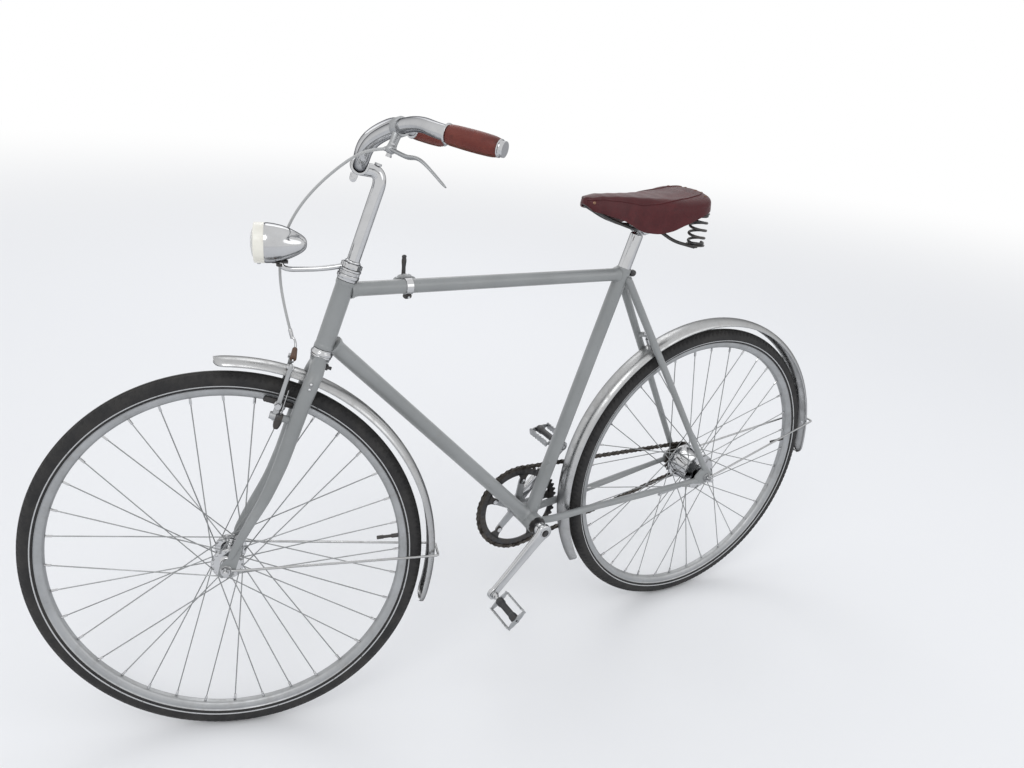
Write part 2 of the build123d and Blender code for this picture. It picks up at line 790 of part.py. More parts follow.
# Front brake and its cable
pads = []
for side, name in ((-1, "left"), (1, "right")):
    pivot = along(brake_pivot_at, brake_pivot_ahead, side * brake_pivot_y)
    top = along(brake_pivot_at + brake_arm_length, brake_pivot_ahead, side * brake_arm_top_y)
    foot = between(pivot, top, -brake_arm_below / brake_arm_length)
    arm = flat_bar(foot, top, brake_arm_wide, brake_arm_deep)
    boss_start = along(brake_pivot_at, boss_root_ahead, side * brake_pivot_y)
    boss_end = along(brake_pivot_at, brake_pivot_ahead + boss_out, side * brake_pivot_y)
    arm += bar([boss_start, boss_end], boss_radius, wire_sides)
    pad_at = between(pivot, top, pad_up / brake_arm_length)
    stud_low, stud_high = span(side, pad_inner_y + pad_thick, brake_pivot_y + boss_out)
    arm += y_prism(pad_at, pad_stud_radius, stud_low, stud_high, wire_sides)
    front[name + "_brake_arm"] = arm - front[name + "_fork_blade"]
    spoke_way = (Vector(pad_at.X, 0, pad_at.Z) - front_axle_at).normalized()
    run_way = Vector(spoke_way.Z, 0, -spoke_way.X) * (pad_length / 2)
    middle = Vector(pad_at.X, side * (pad_inner_y + pad_thick / 2), pad_at.Z)
    pads.append(flat_bar(middle - run_way, middle + run_way, pad_thick, pad_deep))
front["brake_pads"] = Compound(children=pads)


# A cable: straight runs joined by tangent arcs
def cable_run(table, radius, bend):
    path = FilletPolyline(*steered_points(table), radius=bend)
    section = Plane(origin=path @ 0, z_dir=path % 0) * RegularPolygon(radius, wire_sides)
    return sweep(section, path=path)


cable = cable_run(cable_table, cable_radius, cable_bend)
cable += cable_run(noodle_table, noodle_radius, noodle_bend)
front["brake_cable"] = cable - front["brake_lever"] - front["left_brake_arm"] - front["right_brake_arm"]

# Headlamp, its lens and its rod
lamp_at = along(*lamp_back)
rings = []
for ahead, radius in lamp_profile:
    place = Plane(origin=lamp_at - Vector(ahead, 0, 0), z_dir=(-1, 0, 0), x_dir=(0, 1, 0))
    rings.append(ring_points(place, radius, boss_sides))
front["headlamp"] = skin(rings)
shell_end = lamp_at - Vector(lamp_profile[-1][0], 0, 0)
front["headlamp_lens"] = bar([shell_end, lamp_at - Vector(lens_ahead, 0, 0)], lens_radius, boss_sides)
lamp_ring = rod(along(race_top), along(ring_top), cup_radius)
lamp_rod = bar(steered_points(lamp_rod_table), lamp_rod_radius, wire_sides, lamp_rod_bend)
bracket = lamp_ring + lamp_rod
front["headlamp_bracket"] = bracket - front["headlamp"] - column_solid - front["headset_races"]

# Cranks, chainring and pedals
drive = {}
spindle = y_prism(bracket_at, spindle_radius, -spindle_half, spindle_half)
drive["crank_spindle"] = spindle
crank_way = Vector(-cos(radians(crank_angle)), 0, -sin(radians(crank_angle)))


def crank(side, way):
    end = bracket_at + way * crank_length
    across = Vector(way.Z, 0, -way.X)
    wide = across * crank_root_half
    slim = across * crank_tip_half
    low, high = span(side, crank_inner_y, crank_inner_y + crank_thick)
    corners = [bracket_at + wide, end + slim, end - slim, bracket_at - wide]
    arm = plate([(p.X, p.Z) for p in corners], low, high)
    arm += y_prism(bracket_at, crank_big, low, high) + y_prism(end, crank_small, low, high)
    arm += y_prism(bracket_at, crank_boss_radius, *span(side, crank_inner_y - crank_boss_in, crank_inner_y))
    bolt_hole = y_prism(bracket_at, spindle_radius, *span(side, spindle_half, crank_inner_y + crank_thick))
    return arm - spindle - bolt_hole, end


left_crank, left_end = crank(-1, crank_way)
right_crank, right_end = crank(1, -crank_way)
ring_low = chain_y - ring_thick / 2
ring_high = chain_y + ring_thick / 2
ring = gear(tooth_count, ring_pitch, ring_inner, bracket_at)
spider = y_prism(bracket_at, spider_hub_radius, ring_high, ring_high + spider_thick)
spider_start = atan2(-crank_way.Z, -crank_way.X) + radians(spider_lag)
for i in range(spider_arms):
    angle = spider_start + 2 * pi * i / spider_arms
    out = Vector(cos(angle), 0, sin(angle))
    half = Vector(out.Z, 0, -out.X) * (spider_wide / 2)
    bolt_at = bracket_at + out * bolt_circle
    arm = [bracket_at + half, bolt_at + half, bolt_at - half, bracket_at - half]
    spider += plate([(p.X, p.Z) for p in arm], ring_high, ring_high + spider_thick)
    spider += y_prism(bolt_at, bolt_boss_radius, ring_high, ring_high + spider_thick, bar_sides)
    rim_at = bracket_at + out * (ring_inner + ring_tab_in)
    tab = [bolt_at + half, rim_at + half, rim_at - half, bolt_at - half]
    ring += plate([(p.X, p.Z) for p in tab], ring_low, ring_high)
    ring += y_prism(bolt_at, bolt_boss_radius, ring_low, ring_high, bar_sides)
drive["chainring"] = ring
drive["right_crank"] = (right_crank + spider) - spindle
drive["left_crank"] = left_crank
pedals = {}
pedal_rods = []
pedal_outer_y = pedal_inner_y + pedal_length
crank_face = crank_inner_y + crank_thick
pedal_rod_end = pedal_outer_y - pedal_rod_short
pedal_rows = [(-1, "left", left_end, left_pedal_tilt), (1, "right", right_end, right_pedal_tilt)]
for side, name, end, tilt in pedal_rows:
    pedal_rods.append(y_prism(end, pedal_rod_radius, *span(side, crank_face, pedal_rod_end)))
    bore = y_bore(end, pedal_rod_radius + play, *span(side, crank_face, pedal_rod_end + play))
    barrel = y_prism(end, pedal_barrel_radius, *span(side, pedal_inner_y, pedal_outer_y))
    pedals[name + "_pedal_barrel"] = barrel - bore
    cage = []
    for place in (-1, 1):
        rail = Box(pedal_plate, pedal_length, pedal_height)
        cage.append(rail.moved(Location((place * pedal_chord / 2, 0, 0))))
        across = Box(pedal_chord - pedal_plate, pedal_plate, pedal_end_height)
        cage.append(across.moved(Location((0, place * (pedal_length - pedal_plate) / 2, 0))))
    whole = joined(cage).rotate(Axis.Y, -tilt)
    whole = whole.moved(Location((end.X, side * (pedal_inner_y + pedal_length / 2), end.Z)))
    rod_hole = y_bore(end, pedal_rod_radius + play, *span(side, crank_face, pedal_outer_y))
    pedals[name + "_pedal_cage"] = whole - barrel - rod_hole
drive["pedal_spindles"] = Compound(children=pedal_rods)

# Turn the steered pieces and move everything to the saddle
steer_axis = Axis(steer_foot, steer_up)
everything = {}
for group in (frame, rear_wheel, drive, pedals):
    everything.update(group)
for group in (front, front_wheel):
    for name, shape in group.items():
        everything[name] = shape.rotate(steer_axis, steer_turn)
for name, shape in everything.items():
    export_step(shape.moved(Location(-rider_at)), os.path.join("parts", name + ".step"))
print(len(everything), "pieces,", link_total, "chain links")
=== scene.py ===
import bpy
import numpy as np
from math import radians
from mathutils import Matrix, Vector


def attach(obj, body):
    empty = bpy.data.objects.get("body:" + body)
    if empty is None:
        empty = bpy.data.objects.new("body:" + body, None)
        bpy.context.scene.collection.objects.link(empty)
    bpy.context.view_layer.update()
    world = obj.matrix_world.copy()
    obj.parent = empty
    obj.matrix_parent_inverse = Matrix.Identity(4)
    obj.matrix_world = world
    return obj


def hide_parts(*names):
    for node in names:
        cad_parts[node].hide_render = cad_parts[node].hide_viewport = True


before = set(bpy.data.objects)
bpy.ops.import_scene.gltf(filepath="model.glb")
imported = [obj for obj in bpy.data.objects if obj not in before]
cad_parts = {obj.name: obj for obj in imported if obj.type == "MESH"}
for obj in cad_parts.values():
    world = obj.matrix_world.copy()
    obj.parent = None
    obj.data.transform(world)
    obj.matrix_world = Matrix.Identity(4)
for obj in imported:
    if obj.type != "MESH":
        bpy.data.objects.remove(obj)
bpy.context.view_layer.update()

bike = {  # the few sizes that place everything, as on the real bicycle
    "wheelRadius": 0.345,
    "wheelbase": 1.070,
    "bracketAhead": 0.445,
    "bracketDrop": 0.047,
    "seatAngle": radians(73.57),
    "seatTube": 0.5682,
    "steerAngle": radians(71.8),
    "forkOffset": 0.0384,
    "steerTurn": radians(-18.7),
    "postOut": 0.0865,
    "saddleReach": 0.0548,
    "saddleRise": 0.068,
}


def vec(x, y, z):
    return np.array([x, y, z], dtype=float)


def mm(rows):  # millimetres to metres
    return np.asarray(rows, float) / 1000


xWay, yWay, zWay = np.eye(3)
seatUp = vec(np.cos(bike["seatAngle"]), 0, np.sin(bike["seatAngle"]))
steerUp = vec(np.cos(bike["steerAngle"]), 0, np.sin(bike["steerAngle"]))
steerAhead = vec(-np.sin(bike["steerAngle"]), 0, np.cos(bike["steerAngle"]))
groundBracket = vec(-bike["bracketAhead"], 0, bike["wheelRadius"] - bike["bracketDrop"])
groundPost = groundBracket + seatUp * (bike["seatTube"] + bike["postOut"])
rider = groundPost + vec(bike["saddleReach"], 0, bike["saddleRise"])  # the origin, on the saddle
rearAxle = vec(0, 0, bike["wheelRadius"]) - rider
frontAxle = vec(-bike["wheelbase"], 0, bike["wheelRadius"]) - rider  # before the steering is turned
bracket = groundBracket - rider
seatTubeTop = bracket + seatUp * bike["seatTube"]
postEnd = groundPost - rider
steerFoot = frontAxle - steerAhead * bike["forkOffset"]
floorZ = -rider[2]


def along(up, ahead=0.0, side=0.0):  # a place up the steering axis, before it is turned
    return steerFoot + steerUp * up + steerAhead * ahead + vec(0, side, 0)


def alongRows(rows, side=1):
    return np.array([along(up, ahead, side * y) for up, ahead, y in mm(rows)])


def steered(points):  # Rodrigues' turn of an array of points about the steering axis
    rel = points - steerFoot
    c, s = np.cos(bike["steerTurn"]), np.sin(bike["steerTurn"])
    dot = (rel @ steerUp)[..., None]
    return steerFoot + rel * c + np.cross(steerUp, rel) * s + steerUp * dot * (1 - c)


# Surfaces: every grid is an array of rings of points, open, capped or looped from the last ring to the first
def grid(points, ends="both", finish=0, uvScale=(1.0, 1.0)):
    return {"points": np.asarray(points, float), "ends": ends, "finish": finish, "uvScale": uvScale}


def moved(part, change):  # the same grid with a function on its points
    return dict(part, points=change(part["points"]))


def unit(v):
    return v / np.maximum(np.linalg.norm(v, axis=-1, keepdims=True), 1e-12)


def circle(count):  # even angles round a full turn
    return np.arange(count) * 2 * np.pi / count


def polar(centre, radius, angle, y=0.0):
    angle = np.asarray(angle, float)
    x, z = radius * np.cos(angle), radius * np.sin(angle)
    return centre + np.stack([x, np.broadcast_to(y, z.shape), z], -1)


# Smooth line: a Catmull-Rom cubic through the given points, sampled evenly between each pair
def smoothLine(points, perRun=8):
    p = np.asarray(points, float)
    p = np.vstack([2 * p[0] - p[1], p, 2 * p[-1] - p[-2]])
    t = np.linspace(0, 1, perRun, endpoint=False)[:, None]
    a, b, c, d = (q[:, None, :] for q in (p[:-3], p[1:-2], p[2:-1], p[3:]))
    line = 0.5 * (2 * b + (c - a) * t + (2 * a - 5 * b + 4 * c - d) * t**2 + (3 * b - a - 3 * c + d) * t**3)
    return np.vstack([line.reshape(-1, p.shape[1]), p[-2]])


# Cut corner: a quadratic Bezier arc that starts and ends a given reach from the corner
def cutCorner(before, corner, after, reach, most, t):
    near = min(reach, most * np.linalg.norm(corner - before))
    far = min(reach, most * np.linalg.norm(after - corner))
    a = corner + unit(before - corner) * near
    b = corner + unit(after - corner) * far
    return (1 - t) ** 2 * a + 2 * t * (1 - t) * corner + t**2 * b


def roundedLine(points, reach, steps=6):  # straight runs whose corners are cut
    p = np.asarray(points, float)
    t = np.linspace(0, 1, steps)[:, None]
    arcs = [cutCorner(*corner, reach, 0.49, t) for corner in zip(p[:-2], p[1:-1], p[2:])]
    return np.vstack([p[:1], *arcs, p[-1:]])


def roundedOutline(rows, reach, steps):  # a closed millimetre outline with every corner cut
    p = mm(rows)
    t = np.linspace(0, 1, steps)[:, None]
    corners = zip(np.roll(p, 1, 0), p, np.roll(p, -1, 0))
    return np.vstack([cutCorner(*corner, reach / 1000, 0.45, t) for corner in corners])


# Frames along a line: tangent from central differences, normal carried from one point to the next
def carryFrames(line, hint):
    tangent = unit(np.gradient(line, axis=0))
    first = hint if abs(unit(hint) @ tangent[0]) <= 0.95 else vec(0, 1, 0.01)
    normal = np.zeros_like(line)
    n = unit(first - tangent[0] * (first @ tangent[0]))
    for i, t in enumerate(tangent):
        n = unit(n - t * (n @ t))
        normal[i] = n
    return normal, np.cross(tangent, normal)


# Carried outline: each point is a share of the across vector and of the normal, by a radius r(s)
def carry(line, outline, radius, hint=zWay, deep=1.0, finish=0):
    line = np.asarray(line, float)
    normal, across = carryFrames(line, hint)
    r, d = (np.broadcast_to(value, (len(line),))[:, None, None] for value in (radius, deep))
    ring = across[:, None] * outline[:, :1] + normal[:, None] * outline[:, 1:] * d
    return grid(line[:, None] + ring * r, "both", finish)


def tube(line, radius, sides=16, hint=zWay, deep=1.0, finish=0):  # a carried circle or oval
    angle = circle(sides)
    return carry(line, np.column_stack([np.cos(angle), np.sin(angle)]), radius, hint, deep, finish)


def rod(start, end, radius, sides, finish=0):
    return tube([start, end], radius, sides, finish=finish)


def pinAcross(centre, half, radius, sides, finish=0):  # a short rod across the bicycle
    return rod(centre - yWay * half, centre + yWay * half, radius, sides, finish)


# Lathe: profile points of (radius, place along the axis) spun round the axis through a centre
def lathe(profile, centre, axis=yWay, sides=64, ends="", finish=0, spread=1.0):
    axis = unit(axis)
    first = unit(np.cross(axis, zWay if abs(axis[2]) < 0.9 else xWay))
    angle = circle(sides)
    ring = first * np.cos(angle)[:, None] + np.cross(axis, first) * np.sin(angle)[:, None]
    radius = np.broadcast_to(profile[:, :1] * spread, (len(profile), sides))
    return grid(centre + radius[..., None] * ring + axis * profile[:, 1][:, None, None], ends, finish)


# Turned part: a lathe of a millimetre profile, its corners cut first by a reach in millimetres
def spun(rows, centre, axis=yWay, sides=40, ends="both", finish=0, cut=0, steps=3, spread=1.0):
    profile = roundedLine(mm(rows), cut / 1000, steps) if cut else mm(rows)
    return lathe(profile, centre, axis, sides, ends, finish, spread)


def collar(inner, outer, low, high):  # the four corners of a ring's section
    return [(inner, low), (outer, low), (outer, high), (inner, high)]


# Hexagon: radius grows by 1 / cos between the flats, and a cone cuts the corners
def hexNut(centre, axis, low, high, across, finish=0, chamfer=0.12, hole=0.0):
    half = across / 2
    edge = half * chamfer
    inner = hole or half * 0.35
    rows = [(inner, low), (half, low), (half, low + edge), (half, high - edge), (half, high), (inner, high)]
    spread = np.ones((6, 48))
    spread[2:4] = 1 / np.cos((circle(48) + np.pi / 6) % (np.pi / 3) - np.pi / 6)
    return lathe(mm(rows), centre, axis, 48, "both", finish, spread)


# Slab: a closed flat outline pushed along an axis, its rims rounded by a quarter circle
def slab(outline, origin, thick, edge, steps=3, finish=0, axes=(xWay, zWay)):
    xAxis, yAxis = (unit(np.asarray(axis, float)) for axis in axes)
    flow = unit(np.roll(outline, -1, 0) - np.roll(outline, 1, 0))
    x, y = outline.T
    area = np.sum(x * np.roll(y, -1) - y * np.roll(x, -1))
    inward = np.column_stack([-flow[:, 1], flow[:, 0]]) * np.sign(area)
    thick, edge = mm([thick, edge])
    rings = []
    for side in (-1, 1):
        for t in np.linspace(0, np.pi / 2, steps):
            a = t if side < 0 else np.pi / 2 - t
            inset, height = edge * (1 - np.sin(a)), side * (thick / 2 - edge * (1 - np.cos(a)))
            flat = outline + inward * inset
            rings.append(origin + flat[:, :1] * xAxis + flat[:, 1:] * yAxis + np.cross(xAxis, yAxis) * height)
    return grid(rings, "both", finish)


# Stadium: two half circles of different radius joined by their straight sides, in millimetres
def stadium(length, big, small, steps=8):
    lean = np.arcsin((big - small) / length)
    a = np.linspace(np.pi / 2 - lean, 3 * np.pi / 2 + lean, steps)
    b = np.linspace(-np.pi / 2 + lean, np.pi / 2 - lean, steps)
    return mm(np.vstack([np.column_stack([big * np.cos(a), big * np.sin(a)]),
                         np.column_stack([length + small * np.cos(b), small * np.sin(b)])]))


def ball(centre, radius, finish=0, sides=16, rows=9, squash=(1, 1, 1)):  # latitude and longitude grid
    v = np.linspace(0.02, np.pi - 0.02, rows)[:, None]
    u = circle(sides)[None]
    shape = np.stack([np.sin(v) * np.cos(u), np.sin(v) * np.sin(u), np.cos(v) * np.ones_like(u)], -1)
    return grid(centre + shape * radius * np.array(squash), "both", finish)


# Copies of one grid: each copy is the grid's points in its own three axes, at its own place
def copies(part, places, axesX, axesY, axesZ):
    p = part["points"]
    turn = np.stack([axesX, axesY, axesZ], 1)
    many = np.einsum("kc,ncd->nkd", p.reshape(-1, 3), turn) + places[:, None]
    return [dict(part, points=q.reshape(p.shape)) for q in many]


# Mesh from grids: quads between neighbours, a fan round a middle point at each capped end
def meshFrom(name, grids, finishes):
    verts, faces, slots, uvs = [], [], [], []
    base = 0
    for g in grids:
        p = g["points"]
        nu, nv = p.shape[:2]
        rings = np.arange(nu if g["ends"] == "loop" else nu - 1)
        i, j = (q.ravel() for q in np.meshgrid(rings, np.arange(nv), indexing="ij"))
        i2, j2 = (i + 1) % nu, (j + 1) % nv
        quads = np.stack([i * nv + j, i2 * nv + j, i2 * nv + j2, i * nv + j2], 1)
        su, sv = g["uvScale"]
        quadUv = np.stack([np.stack([a / nu * su, b / nv * sv], -1)
                           for a, b in ((i, j), (i + 1, j), (i + 1, j + 1), (i, j + 1))], 1)
        flat = p.reshape(-1, 3)
        tris = np.zeros((0, 3), int)
        for row in {"start": [0], "end": [nu - 1], "both": [0, nu - 1]}.get(g["ends"], []):
            ring = row * nv + np.arange(nv)
            pair = (ring, np.roll(ring, -1)) if row == 0 else (np.roll(ring, -1), ring)
            tris = np.vstack([tris, np.stack([*pair, np.full(nv, len(flat))], 1)])
            flat = np.vstack([flat, p[row].mean(0)])
        loops = np.vstack([quads[:, [0, 1, 2]], quads[:, [0, 2, 3]], tris])
        a, b, c = (flat[loops[:, k]] - flat.mean(0) for k in range(3))
        if np.einsum("ij,ij->i", a, np.cross(b, c)).sum() < 0:  # signed volume: turn an inward grid round
            quads, quadUv, tris = quads[:, ::-1], quadUv[:, ::-1], tris[:, ::-1]
        verts.append(flat)
        faces += (quads + base).tolist() + (tris + base).tolist()
        slots.append(np.full(len(quads) + len(tris), g["finish"]))
        uvs += [quadUv.reshape(-1, 2), np.zeros((len(tris) * 3, 2))]
        base += len(flat)
    mesh = bpy.data.meshes.new(name)
    mesh.from_pydata(np.vstack(verts), [], faces)
    for material in finishes:
        mesh.materials.append(material)
    mesh.polygons.foreach_set("material_index", np.concatenate(slots).astype(np.int32))
    layer = mesh.uv_layers.new(name="UVMap")
    layer.data.foreach_set("uv", np.vstack(uvs).astype(np.float32).ravel())
    mesh.update()
    mesh.shade_smooth()
    mesh.set_sharp_from_angle(angle=radians(38))
    return mesh


# Piece: one object at the origin from its grids, riding on a body, in place of one node of the frame
def piece(name, grids, finishes, body, node):
    if body in ("steering", "front_wheel"):
        grids = [moved(g, steered) for g in grids]
    thing = bpy.data.objects.new(name, meshFrom(name, grids, [finish[key] for key in finishes.split()]))
    bpy.context.scene.collection.objects.link(thing)
    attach(thing, body)
    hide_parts(node)


# Finishes: small helpers for shader nodes
def newFinish(name, look, metal=0.0, **sockets):
    mat = bpy.data.materials.new(name)
    mat.use_nodes = True
    shader = mat.node_tree.nodes["Principled BSDF"]
    sockets.update(Base_Color=(*look["colour"], 1), Roughness=look["rough"], Metallic=metal)
    for socket, value in sockets.items():
        shader.inputs[socket.replace("_", " ")].default_value = value
    return mat, mat.node_tree, shader


def wire(tree, shader, **sockets):
    for socket, value in sockets.items():
        tree.links.new(value, shader.inputs[socket.replace("_", " ")])


def addNode(tree, kind, values=None, **settings):
    node = tree.nodes.new(kind)
    for key, value in settings.items():
        setattr(node, key, value)
    for key, value in (values or {}).items():
        node.inputs[key].default_value = value
    return node


def coords(tree, scale=(1, 1, 1), source="Object"):
    where = addNode(tree, "ShaderNodeTexCoord")
    mapping = addNode(tree, "ShaderNodeMapping", {"Scale": scale})
    tree.links.new(where.outputs[source], mapping.inputs["Vector"])
    return mapping.outputs["Vector"]


def noise(tree, vector, scale, detail=4.0, rough=0.55):
    node = addNode(tree, "ShaderNodeTexNoise", {"Scale": scale, "Detail": detail, "Roughness": rough})
    tree.links.new(vector, node.inputs["Vector"])
    return node.outputs["Fac"]


def cellEdges(tree, vector, scale):
    node = addNode(tree, "ShaderNodeTexVoronoi", {"Scale": scale}, feature="DISTANCE_TO_EDGE")
    tree.links.new(vector, node.inputs["Vector"])
    return node.outputs["Distance"]


def remap(tree, value, fromLow, fromHigh, toLow=0.0, toHigh=1.0, **settings):
    node = addNode(tree, "ShaderNodeMapRange", {1: fromLow, 2: fromHigh, 3: toLow, 4: toHigh}, **settings)
    tree.links.new(value, node.inputs[0])
    return node.outputs[0]


def patches(tree, vector, scale, detail, rough, *span):  # noise cut to a share of 0 to 1
    return remap(tree, noise(tree, vector, scale, detail, rough), *span)


def maths(tree, operation, *values):
    node = addNode(tree, "ShaderNodeMath", operation=operation)
    for k, value in enumerate(values):
        if isinstance(value, (int, float)):
            node.inputs[k].default_value = value
        else:
            tree.links.new(value, node.inputs[k])
    return node.outputs[0]


def blendColour(tree, share, a, b):
    node = addNode(tree, "ShaderNodeMix", data_type="RGBA")
    tree.links.new(share, node.inputs[0])
    for socket, value in ((node.inputs[6], a), (node.inputs[7], b)):
        if isinstance(value, tuple):
            socket.default_value = (*value, 1)
        else:
            tree.links.new(value, socket)
    return node.outputs[2]


def relief(tree, shader, height, strength, distance, under=None):
    node = addNode(tree, "ShaderNodeBump", {"Strength": strength, "Distance": distance})
    tree.links.new(height, node.inputs["Height"])
    if under is not None:
        tree.links.new(under, node.inputs["Normal"])
    tree.links.new(node.outputs["Normal"], shader.inputs["Normal"])
    return node.outputs["Normal"]


def dimmed(colour, share):
    return tuple(share * c for c in colour)


# A patch is its noise's scale, detail and roughness, the span that is kept, and the least and most share
paintLook = {
    "colour": (0.255, 0.264, 0.264), "shade": (0.208, 0.217, 0.216), "rough": 0.32,
    "cloud": (7.0, 5.0, 0.6, 0.35, 0.7), "wear": (22.0, 6.0, 0.7, 0.3, 0.75, 0.26, 0.52),
    "dirt": (38.0, 8.0, 0.7, 0.56, 0.78, 0.0, 0.45), "dirtColour": (0.21, 0.20, 0.185),
    "chips": (95, 6.0, 0.62, 0.715, 0.735), "chipColour": (0.07, 0.062, 0.058), "chipRough": 0.3,
    "peel": (420, 2.0),
}


def makePaint(name, look):  # satin enamel: cloudy tone, orange peel, small chips and scuffs
    mat, tree, shader = newFinish(name, look, Coat_Weight=0.35, Coat_Roughness=0.18)
    place = coords(tree)
    tone = blendColour(tree, patches(tree, place, *look["cloud"]), look["colour"], look["shade"])
    tone = blendColour(tree, patches(tree, place, *look["dirt"]), tone, look["dirtColour"])
    chips = patches(tree, place, *look["chips"])
    rough = maths(tree, "MULTIPLY_ADD", chips, look["chipRough"], patches(tree, place, *look["wear"]))
    wire(tree, shader, Base_Color=blendColour(tree, chips, tone, look["chipColour"]), Roughness=rough)
    under = relief(tree, shader, noise(tree, place, *look["peel"]), 0.12, 0.0004)
    relief(tree, shader, maths(tree, "MULTIPLY", chips, -1.0), 0.5, 0.0003, under)
    return mat


# edge tints the reflections nearly black at glancing angles: painted shade on the chrome
chromeLook = {
    "colour": (0.56, 0.565, 0.575), "edge": (0.10, 0.10, 0.11, 1), "rough": 0.05,
    "haze": (26.0, 7.0, 0.65, 0.42, 0.75), "hazeTone": 0.88, "hazeRough": 0.20,
    "pits": (240.0, 5.0, 0.75, 0.70, 0.75), "pitPatch": (14.0, 3.0, 0.55, 0.45, 0.62),
    "pitRough": 0.5, "pitMetal": -0.8, "rust": (0.20, 0.085, 0.035),
    "wipe": (900.0, 3.0), "wipeStretch": (1.0, 1.0, 0.08),
}


def makeChrome(name, look):  # mirror plate: haze in patches, fine wipe lines, rust pinholes, and painted shade that darkens its reflections at glancing angles
    mat, tree, shader = newFinish(name, look, 1.0, Specular_Tint=look["edge"])
    place = coords(tree)
    haze = patches(tree, place, *look["haze"])
    pits = patches(tree, place, *look["pits"])
    pits = maths(tree, "MULTIPLY", pits, patches(tree, place, *look["pitPatch"]))
    tone = blendColour(tree, haze, look["colour"], dimmed(look["colour"], look["hazeTone"]))
    rough = maths(tree, "MULTIPLY_ADD", haze, look["hazeRough"], look["rough"])
    wire(tree, shader, Base_Color=blendColour(tree, pits, tone, look["rust"]),
         Roughness=maths(tree, "MULTIPLY_ADD", pits, look["pitRough"], rough),
         Metallic=maths(tree, "MULTIPLY_ADD", pits, look["pitMetal"], 1.0))
    wipe = noise(tree, coords(tree, look["wipeStretch"]), *look["wipe"])
    under = relief(tree, shader, wipe, 0.03, 0.0003)
    relief(tree, shader, maths(tree, "MULTIPLY", pits, -1.0), 0.4, 0.0004, under)
    return mat


# Brushed metals: haze roughens in patches, grain is the streaks' scale round and along the piece, and edge is
# the grey that reflections are painted at a glancing angle, painted shade that is darkest on the guard
brushedLook = {
    "guard": {"colour": (0.48, 0.485, 0.49), "rough": 0.15, "haze": 0.22, "grain": (300, 14), "dust": 0.35,
              "edge": 0.20},
    "rim": {"colour": (0.42, 0.43, 0.44), "rough": 0.28, "haze": 0.25, "grain": (700, 20), "dust": 0.30},
    "alloy": {"colour": (0.42, 0.43, 0.44), "rough": 0.30, "haze": 0.22, "grain": (260, 60), "dust": 0.22},
    "rivet": {"colour": (0.21, 0.125, 0.085), "rough": 0.34, "haze": 0.20, "grain": (40, 40), "dust": 0.25},
    "spoke": {"colour": (0.34, 0.35, 0.355), "rough": 0.34, "haze": 0.25, "grain": (40, 400), "dust": 0.30},
}
plainPaintedEdgeShade = 0.6
dustColour = (0.24, 0.215, 0.185)


def makeBrushed(name, look):  # drawn or rolled metal: streaks along the piece's own lengths, dust in patches, reflections painted darker at glancing angles
    edge = look.get("edge", plainPaintedEdgeShade)
    mat, tree, shader = newFinish(name, look, 1.0, Specular_Tint=(edge, edge, edge, 1))
    place = coords(tree)
    streak = noise(tree, coords(tree, (*look["grain"], 1), "UV"), 1.0, 4.0, 0.6)
    patch = noise(tree, place, 17.0, 7.0, 0.65)
    dust = patches(tree, place, 55.0, 8.0, 0.72, 0.50, 0.76, 0.0, look["dust"])
    tone = blendColour(tree, remap(tree, patch, 0.35, 0.7), look["colour"], dimmed(look["colour"], 0.86))
    rough = maths(tree, "MULTIPLY_ADD", remap(tree, patch, 0.3, 0.75), look["haze"], look["rough"])
    rough = maths(tree, "MULTIPLY_ADD", dust, 0.6, rough)
    wire(tree, shader, Base_Color=blendColour(tree, dust, tone, dustColour),
         Roughness=maths(tree, "MULTIPLY_ADD", streak, 0.08, rough),
         Metallic=maths(tree, "MULTIPLY_ADD", dust, -0.9, 1.0))
    under = relief(tree, shader, streak, 0.06, 0.0002)
    relief(tree, shader, noise(tree, place, 130.0, 3.0), 0.08, 0.0006, under)
    return mat


oilyLook = {
    "chain": {"colour": (0.085, 0.075, 0.065), "rough": 0.34, "metal": 0.85, "grime": (0.022, 0.017, 0.013)},
    "black": {"colour": (0.022, 0.022, 0.024), "rough": 0.30, "metal": 0.10, "grime": (0.045, 0.037, 0.030)},
}
rubbedSteel = (0.20, 0.19, 0.18)


def makeOily(name, look):  # dark oiled steel or black enamel: grime in patches, bright rubbed specks
    mat, tree, shader = newFinish(name, look, look["metal"], Coat_Weight=0.2)
    place = coords(tree)
    grime = patches(tree, place, 60.0, 8.0, 0.7, 0.42, 0.66)
    rub = patches(tree, place, 210.0, 5.0, 0.7, 0.64, 0.70, 0.0, 0.7)
    tone = blendColour(tree, grime, look["colour"], look["grime"])
    wire(tree, shader, Base_Color=blendColour(tree, rub, tone, rubbedSteel),
         Roughness=maths(tree, "MULTIPLY_ADD", grime, 0.4, look["rough"]))
    relief(tree, shader, noise(tree, place, 300.0, 5.0, 0.7), 0.25, 0.0004)
    return mat


tyreLook = {  # crest, stripe and walls are places across the profile, as a share of its length
    "colour": (0.011, 0.011, 0.012), "rough": 0.78,
    "dust": (0.052, 0.048, 0.043), "stripe": (0.46, 0.465, 0.47),
    "crest": 0.4667, "stripeAt": 0.398, "stripeHalf": 0.011, "stripeRough": -0.42,
    "worn": (120.0, 6.0, 0.7, 0.60, 0.66, 1.0, 0.25), "dustPatch": (30.0, 9.0, 0.72, 0.42, 0.75, 0.02, 0.55),
    "road": (0.16, 0.10), "roadDust": 0.20, "mostDust": 0.75, "mouldLines": 760, "wall": (0.17, 0.21),
}


